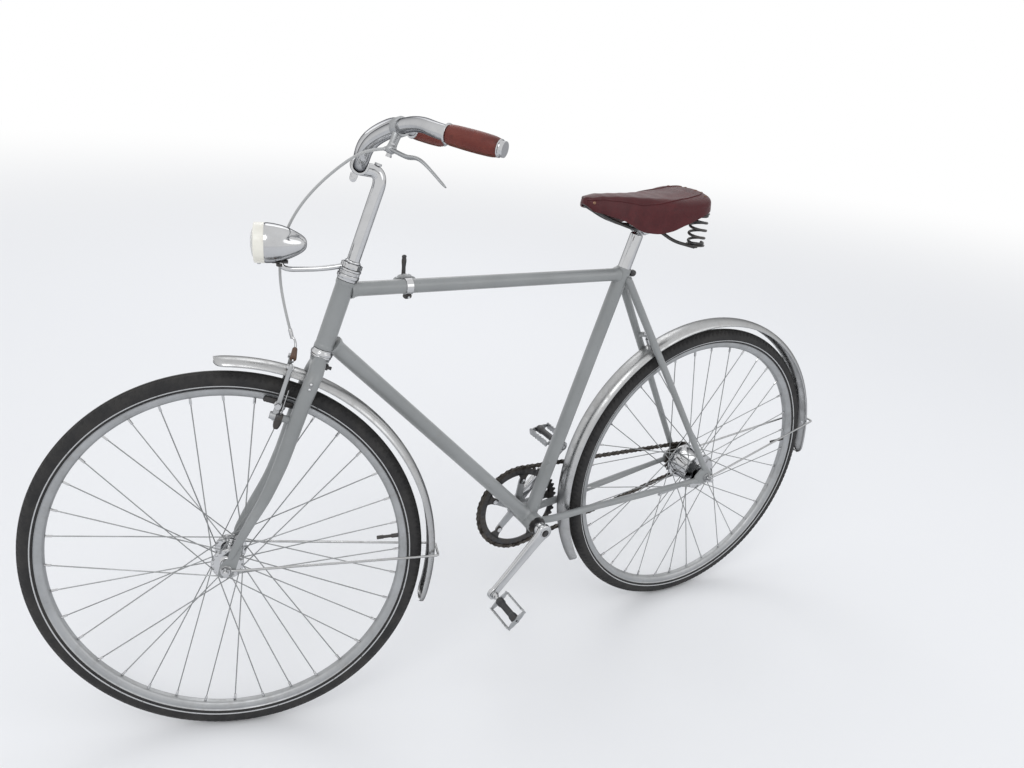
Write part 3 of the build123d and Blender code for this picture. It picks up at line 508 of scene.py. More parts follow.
def makeTyre(name, look):  # black rubber: dust, radial mould lines, a silver reflecting stripe by its own UV
    mat, tree, shader = newFinish(name, look)
    place = coords(tree)
    where = addNode(tree, "ShaderNodeTexCoord")
    parts = addNode(tree, "ShaderNodeSeparateXYZ")
    tree.links.new(where.outputs["UV"], parts.inputs[0])
    fold = maths(tree, "SUBTRACT", parts.outputs[0], look["crest"])
    fold = maths(tree, "ABSOLUTE", fold)  # the same on both side walls
    stripe = maths(tree, "ABSOLUTE", maths(tree, "SUBTRACT", fold, look["stripeAt"]))
    stripe = maths(tree, "LESS_THAN", stripe, look["stripeHalf"])
    stripe = maths(tree, "MULTIPLY", stripe, patches(tree, place, *look["worn"]))
    road = remap(tree, fold, *look["road"])
    dust = maths(tree, "MULTIPLY_ADD", road, look["roadDust"], patches(tree, place, *look["dustPatch"]))
    tone = blendColour(tree, maths(tree, "MINIMUM", dust, look["mostDust"]), look["colour"], look["dust"])
    wire(tree, shader, Base_Color=blendColour(tree, stripe, tone, look["stripe"]),
         Roughness=maths(tree, "MULTIPLY_ADD", stripe, look["stripeRough"], look["rough"]))
    lines = maths(tree, "SINE", maths(tree, "MULTIPLY", parts.outputs[1], 2 * np.pi * look["mouldLines"]))
    lines = maths(tree, "MULTIPLY", lines, remap(tree, fold, *look["wall"]))
    under = relief(tree, shader, lines, 0.20, 0.0004)
    relief(tree, shader, noise(tree, place, 600.0, 4.0), 0.25, 0.0004, under)
    return mat


hideLook = {
    "saddle": {"colour": (0.062, 0.0062, 0.0085), "rough": 0.40, "worn": (0.115, 0.017, 0.019),
               "dark": (0.022, 0.003, 0.005), "grain": 520},
    "grip": {"colour": (0.125, 0.021, 0.015), "rough": 0.42, "worn": (0.200, 0.048, 0.031),
             "dark": (0.055, 0.013, 0.010), "grain": 800},
}


def makeHide(name, look):  # leather: pebble grain from cell edges, creases, rubbed and darkened patches
    mat, tree, shader = newFinish(name, look, Coat_Weight=0.05, Coat_Roughness=0.25, Specular_IOR_Level=0.28)
    place = coords(tree)
    rubbed = patches(tree, place, 18.0, 7.0, 0.65, 0.46, 0.74, 0.0, 0.8)
    dark = patches(tree, place, 31.0, 6.0, 0.6, 0.54, 0.76, 0.0, 0.8)
    tone = blendColour(tree, rubbed, look["colour"], look["worn"])
    tone = blendColour(tree, dark, tone, look["dark"])
    pebble = cellEdges(tree, place, look["grain"])
    lines = remap(tree, pebble, 0.0, 0.09, 0.55, 0.0)
    wire(tree, shader, Base_Color=blendColour(tree, lines, tone, look["dark"]),
         Roughness=maths(tree, "MULTIPLY_ADD", rubbed, 0.16, look["rough"]))
    under = relief(tree, shader, remap(tree, pebble, 0.0, 0.15), 0.22, 0.0006)
    crease = cellEdges(tree, coords(tree, (1.0, 0.35, 1.0)), 70.0)
    relief(tree, shader, remap(tree, crease, 0.0, 0.05), 0.12, 0.0008, under)
    return mat


plainLook = {
    "rubber": {"colour": (0.020, 0.020, 0.021), "rough": 0.72, "speck": (0.11, 0.10, 0.09)},
    "plastic": {"colour": (0.024, 0.024, 0.026), "rough": 0.42, "speck": (0.10, 0.095, 0.09)},
    "sleeve": {"colour": (0.42, 0.425, 0.42), "rough": 0.36, "speck": (0.36, 0.34, 0.31)},
    "cream": {"colour": (0.80, 0.78, 0.70), "rough": 0.24, "speck": (0.52, 0.48, 0.40)},
    "brown": {"colour": (0.085, 0.040, 0.022), "rough": 0.60, "speck": (0.16, 0.12, 0.08)},
}


def makePlain(name, look):  # moulded rubber, plastic or enamel: specks of dust and a fine skin
    mat, tree, shader = newFinish(name, look)
    place = coords(tree)
    speck = patches(tree, place, 75.0, 8.0, 0.72, 0.52, 0.78, 0.0, 0.55)
    wire(tree, shader, Base_Color=blendColour(tree, speck, look["colour"], look["speck"]),
         Roughness=maths(tree, "MULTIPLY_ADD", speck, 0.3, look["rough"]))
    relief(tree, shader, noise(tree, place, 480.0, 4.0), 0.14, 0.0004)
    return mat


lensLook = {"colour": (0.93, 0.93, 0.90), "rough": 0.06, "smear": (45.0, 7.0, 0.7, 0.45, 0.75, 0.05, 0.3)}


def makeLens(name, look):  # clear ribbed glass over a pale reflector
    mat, tree, shader = newFinish(name, look, IOR=1.5, Transmission_Weight=0.55)
    place = coords(tree)
    wire(tree, shader, Roughness=patches(tree, place, *look["smear"]))
    relief(tree, shader, noise(tree, place, 200.0, 3.0), 0.05, 0.0003)
    return mat


finish = {
    "paint": makePaint("greyEnamel", paintLook),
    "chrome": makeChrome("pittedChrome", chromeLook),
    "guard": makeBrushed("rolledGuardSteel", brushedLook["guard"]),
    "rim": makeBrushed("rolledRimSteel", brushedLook["rim"]),
    "alloy": makeBrushed("dullAlloy", brushedLook["alloy"]),
    "spoke": makeBrushed("drawnSpokeSteel", brushedLook["spoke"]),
    "chain": makeOily("oiledChainSteel", oilyLook["chain"]),
    "black": makeOily("blackEnamel", oilyLook["black"]),
    "tyre": makeTyre("stripedTyreRubber", tyreLook),
    "saddle": makeHide("maroonSaddleHide", hideLook["saddle"]),
    "grip": makeHide("redBrownGripHide", hideLook["grip"]),
    "rubber": makePlain("dustyRubber", plainLook["rubber"]),
    "plastic": makePlain("blackMoulding", plainLook["plastic"]),
    "sleeve": makePlain("greyCableSleeve", plainLook["sleeve"]),
    "cream": makePlain("creamEnamel", plainLook["cream"]),
    "brown": makePlain("brownBoot", plainLook["brown"]),
    "rivet": makeBrushed("copperRivet", brushedLook["rivet"]),
    "lens": makeLens("ribbedLampGlass", lensLook),
}
print("finishes:", len(finish))

# Camera at the photograph's angle
camera = {
    "at": (-1.13604, -1.33017, 0.24682),
    "turn": (1.18968369, -0.09337465, -0.51559864),
    "lens": 29.9883,
    "sensor": 36.0,
}
cameraData = bpy.data.cameras.new("photoCamera")
cameraData.lens = camera["lens"]
cameraData.sensor_width = camera["sensor"]
cameraThing = bpy.data.objects.new("photoCamera", cameraData)
cameraThing.location = camera["at"]
cameraThing.rotation_euler = camera["turn"]
bpy.context.scene.collection.objects.link(cameraThing)
bpy.context.scene.camera = cameraThing

# Floor and light: pale floor, white surround, three soft lamps
studio = {
    "floorHalf": 40.0,
    "floor": {"colour": (0.84, 0.84, 0.84), "rough": 0.85},
    "fade": (2.5, 9.0),  # metres from the middle at which the floor starts and ends its turn to white
    "world": (0.86, 0.88, 0.92),
    "worldStrength": 0.98,
    "lamps": [  # name, place, aim, size, watts
        ("keyLamp", (-2.6, -2.4, 2.6), (-0.2, 0.0, -0.4), 2.2, 34),
        ("fillLamp", (1.8, -3.4, 1.4), (0.0, 0.0, -0.5), 2.6, 16),
        ("backLamp", (0.6, 3.2, 2.4), (-0.2, 0.0, -0.4), 2.4, 20),
    ],
}


def seenDirectly(tree):  # 1 where the camera sees a surface itself, or in metal or glass
    path = addNode(tree, "ShaderNodeLightPath")
    seen = maths(tree, "MAXIMUM", path.outputs["Is Camera Ray"], path.outputs["Is Glossy Ray"])
    return maths(tree, "MAXIMUM", seen, path.outputs["Is Transmission Ray"])


def mixToWhite(tree, share, shader, white, end):  # a shader turned to plain white by a share
    plain = addNode(tree, white, {"Color": (1, 1, 1, 1), "Strength": 1.0})
    mix = addNode(tree, "ShaderNodeMixShader")
    for k, value in enumerate((share, shader.outputs[0], plain.outputs[0])):
        tree.links.new(value, mix.inputs[k])
    tree.links.new(mix.outputs[0], tree.nodes[end].inputs["Surface"])


def makeFloor(look):
    half = look["floorHalf"]
    mesh = bpy.data.meshes.new("floor")
    corners = [(-half, -half, floorZ), (half, -half, floorZ), (half, half, floorZ), (-half, half, floorZ)]
    mesh.from_pydata(corners, [], [(0, 1, 2, 3)])
    floor = bpy.data.objects.new("floor", mesh)
    bpy.context.scene.collection.objects.link(floor)
    mat, tree, shader = newFinish("paleFloor", look["floor"])
    where = addNode(tree, "ShaderNodeTexCoord")
    away = addNode(tree, "ShaderNodeVectorMath", operation="LENGTH")
    tree.links.new(where.outputs["Object"], away.inputs[0])
    far = remap(tree, away.outputs["Value"], *look["fade"], interpolation_type="SMOOTHSTEP")
    share = maths(tree, "MULTIPLY", seenDirectly(tree), far)
    mixToWhite(tree, share, shader, "ShaderNodeEmission", "Material Output")
    mesh.materials.append(mat)


def makeWorld(look):
    world = bpy.data.worlds.new("studioWorld")
    bpy.context.scene.world = world
    world.use_nodes = True
    tree = world.node_tree
    ambient = tree.nodes["Background"]
    ambient.inputs["Color"].default_value = (*look["world"], 1)
    ambient.inputs["Strength"].default_value = look["worldStrength"]
    mixToWhite(tree, seenDirectly(tree), ambient, "ShaderNodeBackground", "World Output")


def makeLamps(look):
    for name, place, aim, size, watts in look["lamps"]:
        data = bpy.data.lights.new(name, "AREA")
        data.shape = "DISK"
        data.size = size
        data.energy = watts
        lamp = bpy.data.objects.new(name, data)
        lamp.location = place
        lamp.rotation_euler = (Vector(aim) - Vector(place)).to_track_quat("-Z", "Y").to_euler()
        bpy.context.scene.collection.objects.link(lamp)


makeFloor(studio)
makeWorld(studio)
makeLamps(studio)
bpy.context.scene.view_settings.view_transform = "Standard"
print("camera, floor and lamps are set")


# Wheels: profiles in millimetres from the hub, places in metres
wheelLook = {
    "tyre": [(316, -12), (320.5, -14.5), (327, -16.3), (333.5, -15.5), (338.5, -12.2), (342, -8), (343.6, -4),
             (344.3, 0)],
    "tyreInner": [(315.5, 11), (315.5, -11)],
    "tyreSides": 1056,
    "rim": [(316, -11.9), (317.2, -11.2), (316, -10.2), (309.5, -9.8), (304, -7.8), (301.3, -4), (301.6, 0)],
    "rimInner": [(315, 10.4), (304.5, 6.6), (304.5, -6.6), (315, -10.4)],
    "groove": 0.0020,
    "tread": (0.3330, 0.0030),  # the radius where grooves start, and the way to their full depth
    "blocks": 176,
    "slant": 1.3,
    "blockGap": -0.35,  # a groove lies where the square wave's sine is under this
    "rib": (0.0052, 0.0013, 0.0085),
    "spokes": 36,
    "cross": radians(62),
    "wire": 0.00105,
    "nipple": (0.0022, 0.011),
    "flangeThick": 0.0035,
    "holeIn": 0.0033,
    "rimSide": 0.002,
    "rimHole": 0.3012,
    "headTurn": 0.09,
    "valveTurn": radians(5),
    "valve": [(0, 262), (3.2, 262), (3.6, 264), (3.6, 274), (2.9, 275), (2.9, 288), (4, 290), (4, 302)],
}
hubLook = {
    "front": {"flange": 0.028, "flangeY": 0.030, "shell": 0.0176, "waist": 0.015, "half": 0.0365,
              "end": 0.0115},
    "rear": {"flange": 0.043, "flangeY": 0.029, "shell": 0.0366, "waist": 0.035, "half": 0.0355,
             "end": 0.0235},
}


def bothHalves(rows):  # a profile joined to its mirror image, from the crest back
    return rows + [(r, -y) for r, y in reversed(rows) if y]


# Tyre: a smooth closed profile spun round the hub; its crown is cut by ribs and slanted blocks, so the
# radius drops by the groove's depth where a square wave of the angle, sheared by the side, is low
def tyre(centre):
    look = wheelLook
    profile = np.vstack([smoothLine(mm(bothHalves(look["tyre"])), 3), mm(look["tyreInner"])])
    part = lathe(profile, centre, yWay, look["tyreSides"], "loop")
    aside = np.abs(profile[:, 1])[:, None]
    depth = np.clip((profile[:, 0][:, None] - look["tread"][0]) / look["tread"][1], 0, 1)
    wave = np.sin(look["blocks"] * (circle(look["tyreSides"]) + look["slant"] * aside)) < look["blockGap"]
    ribAt, ribHalf, blocksFrom = look["rib"]
    cut = (np.abs(aside - ribAt) < ribHalf) | (aside > blocksFrom) & wave
    out = unit((part["points"] - centre) * vec(1, 0, 1))
    return moved(part, lambda p: p - out * (look["groove"] * depth * cut)[..., None])


# Rim: an open channel profile with rolled edges and a crowned well, spun round the hub
def rim(centre):
    profile = roundedLine(mm(bothHalves(wheelLook["rim"])), 0.0014, 3)
    return lathe(np.vstack([profile, mm(wheelLook["rimInner"])]), centre, yWay, 288, "loop")


# Spokes: each is a wire from a flange hole, over its elbow, to a nipple in the rim
def spokes(centre, hub):
    w = wheelLook
    grids = []
    for i in range(w["spokes"]):
        side = 1 if i % 2 else -1
        leads = (i // 2) % 2
        away = w["wire"] + w["flangeThick"] / 2
        rootY = side * (hub["flangeY"] + (away + 0.0003 if leads else -away))
        rimAngle = i * 2 * np.pi / w["spokes"]
        hubAngle = rimAngle + (w["cross"] if leads else -w["cross"])
        root = hub["flange"] - w["holeIn"]
        start = polar(centre, root, hubAngle, rootY)
        tip = polar(centre, w["rimHole"], rimAngle, side * w["rimSide"])
        way = unit(tip - start)
        hole = polar(centre, root, hubAngle, side * hub["flangeY"])
        grids.append(tube([hole, start + way * 0.0012, start + way * 0.003, tip], w["wire"], 6))
        neck, wide = tip - way * w["nipple"][1], w["nipple"][0]
        nipple = tube([neck, neck + way * 0.001, tip], [0.0016, wide, wide], 8, finish=1)
        grids.append(dict(nipple, ends="start"))
    return grids


# Hub: a turned barrel with two drilled flanges and the rivet-like heads of the spokes on each
def hubBody(centre, hub):
    f, fy, end, shell, waist = (hub[k] for k in ("flange", "flangeY", "end", "shell", "waist"))
    half = wheelLook["flangeThick"] / 2
    rows = [(0.0051, -hub["half"]), (end, -hub["half"]), (end, -fy - half - 0.0018),
            (shell * 0.92, -fy - half), (f, -fy - half), (f, -fy + half),
            (shell, -fy + half + 0.0006), (waist, -fy + half + 0.008), (waist, 0)]
    grids = [lathe(roundedLine(bothHalves(rows), 0.0011, 3), centre, yWay, 96)]
    for side in (-1, 1):
        angles = circle(wheelLook["spokes"] // 2) + wheelLook["headTurn"] * side
        for place in polar(centre, f - wheelLook["holeIn"], angles, side * (fy + half)):
            grids.append(ball(place, 0.0019, 0, 8, 5, (1, 0.5, 1)))
    return grids


for end, centre in (("front", frontAxle), ("rear", rearAxle)):
    body = end + "_wheel"
    valve = spun(wheelLook["valve"], centre, polar(0, 1, wheelLook["valveTurn"]), 14, finish=1)
    piece(end + "TreadedTyre", [tyre(centre)], "tyre", body, end + "_tyre")
    piece(end + "ChannelRim", [rim(centre), valve], "rim black", body, end + "_rim")
    piece(end + "CrossedSpokes", spokes(centre, hubLook[end]), "spoke chrome", body, end + "_spokes")
    piece(end + "FlangedHub", hubBody(centre, hubLook[end]), "chrome", body, end + "_hub")
print("wheels are dressed")


# Axles: bare threaded ends, cone nuts, washers and outer nuts; nuts are inner and outer face and width
axleLook = {
    "radius": 0.0049, "pitch": 0.0012, "ridge": 0.0003, "washer": (10.4, 1.6),
    "front": {"half": 0.0688, "nuts": [(40, 49.5, 14.8), (54.5, 63, 14.8)]},
    "rear": {"half": 0.0778, "nuts": [(44, 55, 15.8), (60, 70, 16.8)]},
}


# Thread: a ridge whose radius rises and falls along a helix, r = R - d * |saw(y / pitch - angle / 2 pi)|
def threadedEnd(centre, low, high, side, sides=20):
    pitch, radius = axleLook["pitch"], axleLook["radius"]
    y = np.linspace(low, high, int((high - low) / (pitch / 4)) + 1)[:, None]
    angle = circle(sides)
    r = radius - axleLook["ridge"] * np.abs(2 * ((y / pitch - angle / (2 * np.pi)) % 1.0) - 1)
    r[[0, -1]] = radius * 0.86
    return grid(polar(centre, r, angle, side * y))


def axleSet(centre, look):
    inner, outer, _ = look["nuts"][-1]
    grids = [pinAcross(centre, inner / 1000, axleLook["radius"], 20)]
    wide, thick = axleLook["washer"]
    for side in (-1, 1):
        grids.append(threadedEnd(centre, outer / 1000 - 0.002, look["half"], side))
        for nut in look["nuts"]:
            grids.append(hexNut(centre, side * yWay, *nut))
        washer = collar(6, wide, inner + 0.1, inner + 0.1 + thick - 0.1)
        grids.append(spun(washer, centre, side * yWay, 32, "", cut=0.4, steps=2))
    return grids


piece("frontAxleSet", axleSet(frontAxle, axleLook["front"]), "chrome", "steering", "front_axle")
piece("rearAxleSet", axleSet(rearAxle, axleLook["rear"]), "chrome", "frame", "rear_axle")
print("axles are dressed")


# Mudguards: a thin rolled strip with curled edges, spun through the frame's angles, and a wire stay
guardLook = {
    "outer": [(357.2, -21.6), (359, -21.4), (362.5, -19), (366.4, -14.5), (368.6, -8.5), (369.6, 0)],
    "thick": 0.0013, "innerWidth": 0.955, "crest": 0.3696, "flat": 0.35,
    "front": (-18, 92), "rear": (-3, 210),
    "bead": 0.0011, "beadAt": (0.3578, 0.0205),
    "endRound": radians(3.2), "endSteps": (0.05, 0.15, 0.3, 0.5, 0.75),
    "bolt": [(0, 370.6), (2.2, 370.3), (3.6, 369.4), (3.8, 368)],
    "clip": (0.0055, 0.3690, 0.009),  # radius, start, and how far its end stays from the place that it holds
}
stayLook = {
    "radius": 0.0022, "reach": 0.3735, "side": 0.0254, "bend": 0.006,
    "front": {"angle": -1, "axleY": 0.0569, "eye": 0.015},
    "rear": {"angle": 12, "axleY": 0.0624, "eye": 0.014},
}


# The strip's half width shrinks near its ends as a quarter circle, so its tips are rounded
def guardStrip(centre, low, high):
    look = guardLook
    outer = smoothLine(mm(bothHalves(look["outer"])), 3)
    inner = (outer[::-1] - vec(look["thick"], 0, 0)[:2]) * np.array([1, look["innerWidth"]])
    ring = np.vstack([outer, inner])
    steps = look["endRound"] * np.array(look["endSteps"])
    t = np.linspace(low, high, int((high - low) / radians(1.5)))
    t = np.sort(np.concatenate([t, low + steps, high - steps]))[:, None]
    gone = np.clip(1 - np.minimum(t - low, high - t) / look["endRound"], 0, 1)
    wide = np.sqrt(np.clip(1 - gone**2, 0.09, 1))
    r = ring[:, 0] + (look["crest"] - ring[:, 0]) * (1 - wide) * look["flat"]
    return grid(centre + np.stack([r * np.cos(t), ring[:, 1] * wide, r * np.sin(t)], -1))


def guardBeads(centre, low, high):  # a rolled wire in each edge
    radius, aside = guardLook["beadAt"]
    short = guardLook["endRound"]
    t = np.linspace(low + short, high - short, int((high - low) / radians(2.0)))
    return [tube(polar(centre, radius, t, side * aside), guardLook["bead"], 8) for side in (-1, 1)]


def guardClip(centre, place):
    radius, start, short = guardLook["clip"]
    out = unit(place - centre)
    return rod(centre + out * start, centre + out * (np.linalg.norm(place - centre) - short), radius, 16, 1)


def stayWire(centre, look):
    out = polar(0, 1, radians(look["angle"]))
    low, across = centre + out * look["eye"], centre + out * stayLook["reach"]
    aside, axleY, radius = yWay * stayLook["side"], yWay * look["axleY"], stayLook["radius"]
    line = roundedLine([low - axleY, across - aside, across + aside, low + axleY], stayLook["bend"], 7)
    grids = [tube(line, radius, 12)]
    for face in (centre - axleY, centre + axleY):  # each end is hammered to an eye round the axle
        grids.append(spun(collar(5.2, 9.8, -1.1, 1.1), face, yWay, 28, "loop", cut=0.5, steps=2))
        link = [face + out * 0.0092, face + out * (look["eye"] + 0.004)]
        grids.append(tube(link, [radius * 1.15, radius], 12, yWay, 0.6))
    return grids


crownAt = along(0.386)
bridgeMiddle = vec(-0.19768, 0, 0.692) - rider
for end, centre, holder in (("front", frontAxle, crownAt), ("rear", rearAxle, bridgeMiddle)):
    body = "steering" if end == "front" else "frame"
    span = [radians(v) for v in guardLook[end]]
    boltWay = polar(0, 1, radians(stayLook[end]["angle"] - 2))
    strip = [guardStrip(centre, *span), *guardBeads(centre, *span)]
    strip += [spun(guardLook["bolt"], centre, boltWay, 16, finish=1), guardClip(centre, holder)]
    piece(end + "RolledGuard", strip, "guard chrome", body, end + "_mudguard")
    piece(end + "GuardStay", stayWire(centre, stayLook[end]), "guard", body, end + "_mudguard_stay")
print("mudguards are dressed")


# Frame tubes: places and radii as in the frame
tubeLook = {
    "head": 0.0160, "top": 0.0127, "down": 0.0143, "seat": 0.0143, "shell": 0.0200,
    "fillet": 0.0030, "filletLong": 0.011, "filletSteps": (0.0, 0.12, 0.28, 0.5, 0.75, 1.0), "buried": 0.004,
    "headLow": 0.416, "headLong": 0.124, "topDrop": 0.01683, "topBelow": 0.01355, "downRise": 0.01769,
}
headLow = along(tubeLook["headLow"])
headHigh = tubeLook["headLow"] + tubeLook["headLong"]
topStart = along(headHigh - tubeLook["topDrop"])
topEnd = seatTubeTop - seatUp * tubeLook["topBelow"]
downStart = along(tubeLook["headLow"] + tubeLook["downRise"])


# Brazed joint: near each buried end the radius grows by f * (1 - s / L) ** 2 from the other tube's wall
def frameTube(start, end, radius, startIn, endIn):
    length = np.linalg.norm(end - start)
    long = tubeLook["filletLong"]
    near = startIn + long * np.array(tubeLook["filletSteps"])
    far = length - endIn - long * np.array(tubeLook["filletSteps"][::-1])
    ends = startIn - tubeLook["buried"], length - endIn + tubeLook["buried"]
    s = np.concatenate([ends[:1], near, np.linspace(near[-1], far[0], 12)[1:-1], far, ends[1:]])
    grow = np.clip(1 - (s - startIn) / long, 0, 1) ** 2 + np.clip(1 - (length - endIn - s) / long, 0, 1) ** 2
    grow = tubeLook["fillet"] * np.minimum(grow, 1.0)
    return tube(start + (end - start) / length * s[:, None], radius + grow, 40)


topTube = frameTube(topStart, topEnd, tubeLook["top"], tubeLook["head"], tubeLook["seat"])
downTube = frameTube(downStart, bracket, tubeLook["down"], tubeLook["head"] + 0.004, tubeLook["shell"])
piece("brazed_top_tube", [topTube], "paint", "frame", "top_tube")
piece("brazed_down_tube", [downTube], "paint", "frame", "down_tube")

# Head tube with its two thickened rims, seat tube with a slotted collar and its pinch bolt
headRows = [(14.2, 0.4), (17.1, 0.4), (17.1, 6), (16, 9), (16, 115), (17.1, 118), (17.1, 123.6),
            (14.2, 123.6)]
piece("rimmedHeadTube", [spun(headRows, headLow, steerUp, 56, "", cut=1.2)], "paint", "frame", "head_tube")
long = bike["seatTube"] * 1000
seatRows = [(14.3, 17), (14.3, long - 28), (15.6, long - 24), (15.6, long - 0.6), (13.6, long - 0.3)]
pinch = seatTubeTop - seatUp * 0.009 + vec(0.0200, 0, -0.0010)
pinchHead = [(0, 13.2), (4, 12.8), (6.4, 11), (6.8, 5.6)]
seatGrids = [spun(seatRows, bracket, seatUp, 48, "start", cut=1.5, steps=4)]
for side in (-1, 1):  # two ears behind the collar, pulled together by the bolt
    earAt = pinch + vec(-0.0085, side * 0.0034, 0.0)
    seatGrids.append(slab(stadium(10, 7.2, 6.2), earAt, 3.8, 0.8, axes=((1, 0, -0.28), (0.28, 0, 1))))
seatGrids += [pinAcross(pinch, 0.0115, 0.0031, 14, 1), hexNut(pinch, yWay, 5.6, 11.2, 11.5, 1),
              spun(pinchHead, pinch, -yWay, 20, finish=1)]
piece("collaredSeatTube", seatGrids, "paint black", "frame", "seat_tube")

# Bottom bracket shell: barrel, and a screwed cup and a lockring at each end; six notches cut the
# lockring, where its radius falls by a fixed step as the cosine of six angles is high
shellGrids = [spun(collar(17.6, 20, -34, 34), bracket, yWay, 56, cut=1.4)]
notches = np.where(np.cos(6 * circle(72)) > 0.80, 0.90, 1.0)
for side in (-1, 1):
    shellGrids.append(spun(collar(10.5, 19.2, 34.1, 36.2), bracket, side * yWay, 72, "", 1, spread=notches))
    shellGrids.append(spun(collar(8.6, 15.8, 36.2, 37), bracket, side * yWay, 40, "", 1, 0.3, 2))
piece("notchedBracketShell", shellGrids, "paint black", "frame", "bottom_bracket_shell")

# Chain stays, seat stays, bridge and slotted dropouts; a chain row is a share of the way and a side place
stayTable = {
    "chain": [(0.016, 0.020), (0.11, 0.0305), (0.26, 0.032), (0.66, 0.048), (0.924, 0.0575)],
    "chainRadius": 0.0075, "bend": 0.055, "oval": 0.10, "slim": 0.22,
    "seatTopY": 0.013, "seatBelow": 0.0177, "seatBehind": 0.0063, "seatTop": 0.0085, "seatLow": 0.0065,
    "seatEnd": vec(-0.0144, 0.0595, 0.0276),
    "bridgeRadius": 0.0055, "bridgeHalf": 0.02777, "bridgeArch": 0.010,
    "bridgeScrew": [(0, 8.8), (3.4, 8.6), (5.2, 7.2), (5.5, 5), (5.5, 3)],
    "dropSlot": [(-5.2, -15), (-5.2, 3), (-3, 5.8), (0, 6.6), (3, 5.8), (5.2, 3), (5.2, -15)],
    "dropFront": [(-36, 7), (-36, -11), (-14, -14)],
    "dropBack": [(12, -15), (16, -8), (16, 8), (4, 17), (-7, 31.2), (-21, 22.9)],
}
dropOutline = roundedOutline(stayTable["dropFront"] + stayTable["dropSlot"] + stayTable["dropBack"], 2.2, 3)
seatRoot = seatTubeTop - seatUp * stayTable["seatBelow"] + vec(stayTable["seatBehind"], 0, 0)
for side, name in ((-1, "left"), (1, "right")):
    line = [bracket + (rearAxle - bracket) * share + side * yWay * y for share, y in stayTable["chain"]]
    line = roundedLine(line, stayTable["bend"], 9)
    s = np.linspace(0, 1, len(line))
    beside = np.clip((s - 0.05) / 0.5, 0, 1)  # the stay is ovalised beside the tyre
    deep = 1.0 + stayTable["oval"] * np.sin(np.pi * beside)
    radius = stayTable["chainRadius"] * (1 - stayTable["slim"] * np.clip((s - 0.75) / 0.25, 0, 1))
    grids = [tube(line, radius, 28, deep=deep), slab(dropOutline, rearAxle + side * yWay * 0.0575, 5, 0.7),
             ball(line[-1], 0.0062, 0, 16, 7, (1.5, 0.9, 1.0))]
    piece(name + "OvalChainStay", grids, "paint", "frame", name + "_chain_stay")
    top = seatRoot + side * yWay * stayTable["seatTopY"]
    end = rearAxle + vec(1, side, 1) * stayTable["seatEnd"]
    t = np.linspace(0, 1, 24)[:, None]
    radius = stayTable["seatTop"] + (stayTable["seatLow"] - stayTable["seatTop"]) * t[:, 0]
    radius[:2] *= (0.45, 0.98)
    t[1] = 0.008
    grids = [tube(top + (end - top) * t, radius, 28), ball(end, 0.0064, 0, 16, 7, (0.9, 0.8, 1.25))]
    piece(name + "TaperedSeatStay", grids, "paint", "frame", name + "_seat_stay")

archY = np.linspace(-1, 1, 21) * (stayTable["bridgeHalf"] - 0.004)
archDrop = stayTable["bridgeArch"] * (archY / stayTable["bridgeHalf"]) ** 2
arch = bridgeMiddle + np.stack([0 * archY, archY, -archDrop], -1)
bridgeGrids = [tube(arch, stayTable["bridgeRadius"], 24),
               spun(stayTable["bridgeScrew"], bridgeMiddle, bridgeMiddle - rearAxle, 20, finish=1)]
piece("archedStayBridge", bridgeGrids, "paint chrome", "frame", "stay_bridge")

# Reaction arm of the rear hub with its strap bolt beside the left chain stay
armRows = [(-14, -7), (-10, 12), (12, 12), (14, -5), (8, -14), (-120, -33), (-126, -23)]
strapAt = rearAxle + vec(-0.1235, -0.042, -0.0280)
armGrids = [slab(roundedOutline(armRows, 4.5, 5), rearAxle - yWay * 0.042, 4, 0.9),
            hexNut(strapAt, -yWay, 2, 5.2, 9.5, 1), rod(strapAt, strapAt - yWay * 0.0075, 0.0026, 14, 1)]
piece("hubReactionArm", armGrids, "alloy chrome", "frame", "brake_reaction_arm")
print("frame is dressed")


# Headset: turned cups, races with a knurled ring, and a hexagonal locknut
headset = {
    "cupLong": 0.011, "gap": 0.0001, "raceLong": 0.006, "ringLong": 0.004, "nutLong": 0.010,
    "cup": [(12.9, -10.9), (18.6, -10.9), (19, -9.5), (18.8, -6), (16.8, -3.5), (16.8, -0.3), (12.9, -0.3)],
    "lowRace": [(12.8, -6), (16.5, -6), (18, -3), (17.8, 0), (12.8, 0)],
    "knurls": 44, "knurlDeep": 0.012,
}
raceLow = tubeLook["headLow"] - headset["cupLong"] - headset["gap"]
raceHigh = headHigh + headset["cupLong"] + headset["gap"]
raceTop = raceHigh + headset["raceLong"]
ringTop = raceTop + headset["ringLong"]
columnTop = ringTop + headset["nutLong"]
highCup = [(r, -y) for r, y in headset["cup"][::-1]]
knurl = 1 + headset["knurlDeep"] * np.sign(np.sin(headset["knurls"] * circle(176)))
cupGrids = [spun(headset["cup"], headLow, steerUp, 56, "loop", cut=0.8),
            spun(highCup, along(headHigh), steerUp, 56, "loop", cut=0.8)]
raceGrids = [spun(headset["lowRace"], along(raceLow), steerUp, 56, "loop", cut=0.7),
             spun(collar(12.8, 17.7, 0, 5.8), along(raceHigh), steerUp, 176, "loop", cut=0.6, spread=knurl),
             hexNut(along(ringTop), steerUp, 0.2, 9.6, 31.8, 0, 0.06, 11.5)]
piece("turnedHeadsetCups", cupGrids, "chrome", "frame", "headset_cups")
piece("knurledHeadsetRaces", raceGrids, "chrome", "steering", "headset_races")


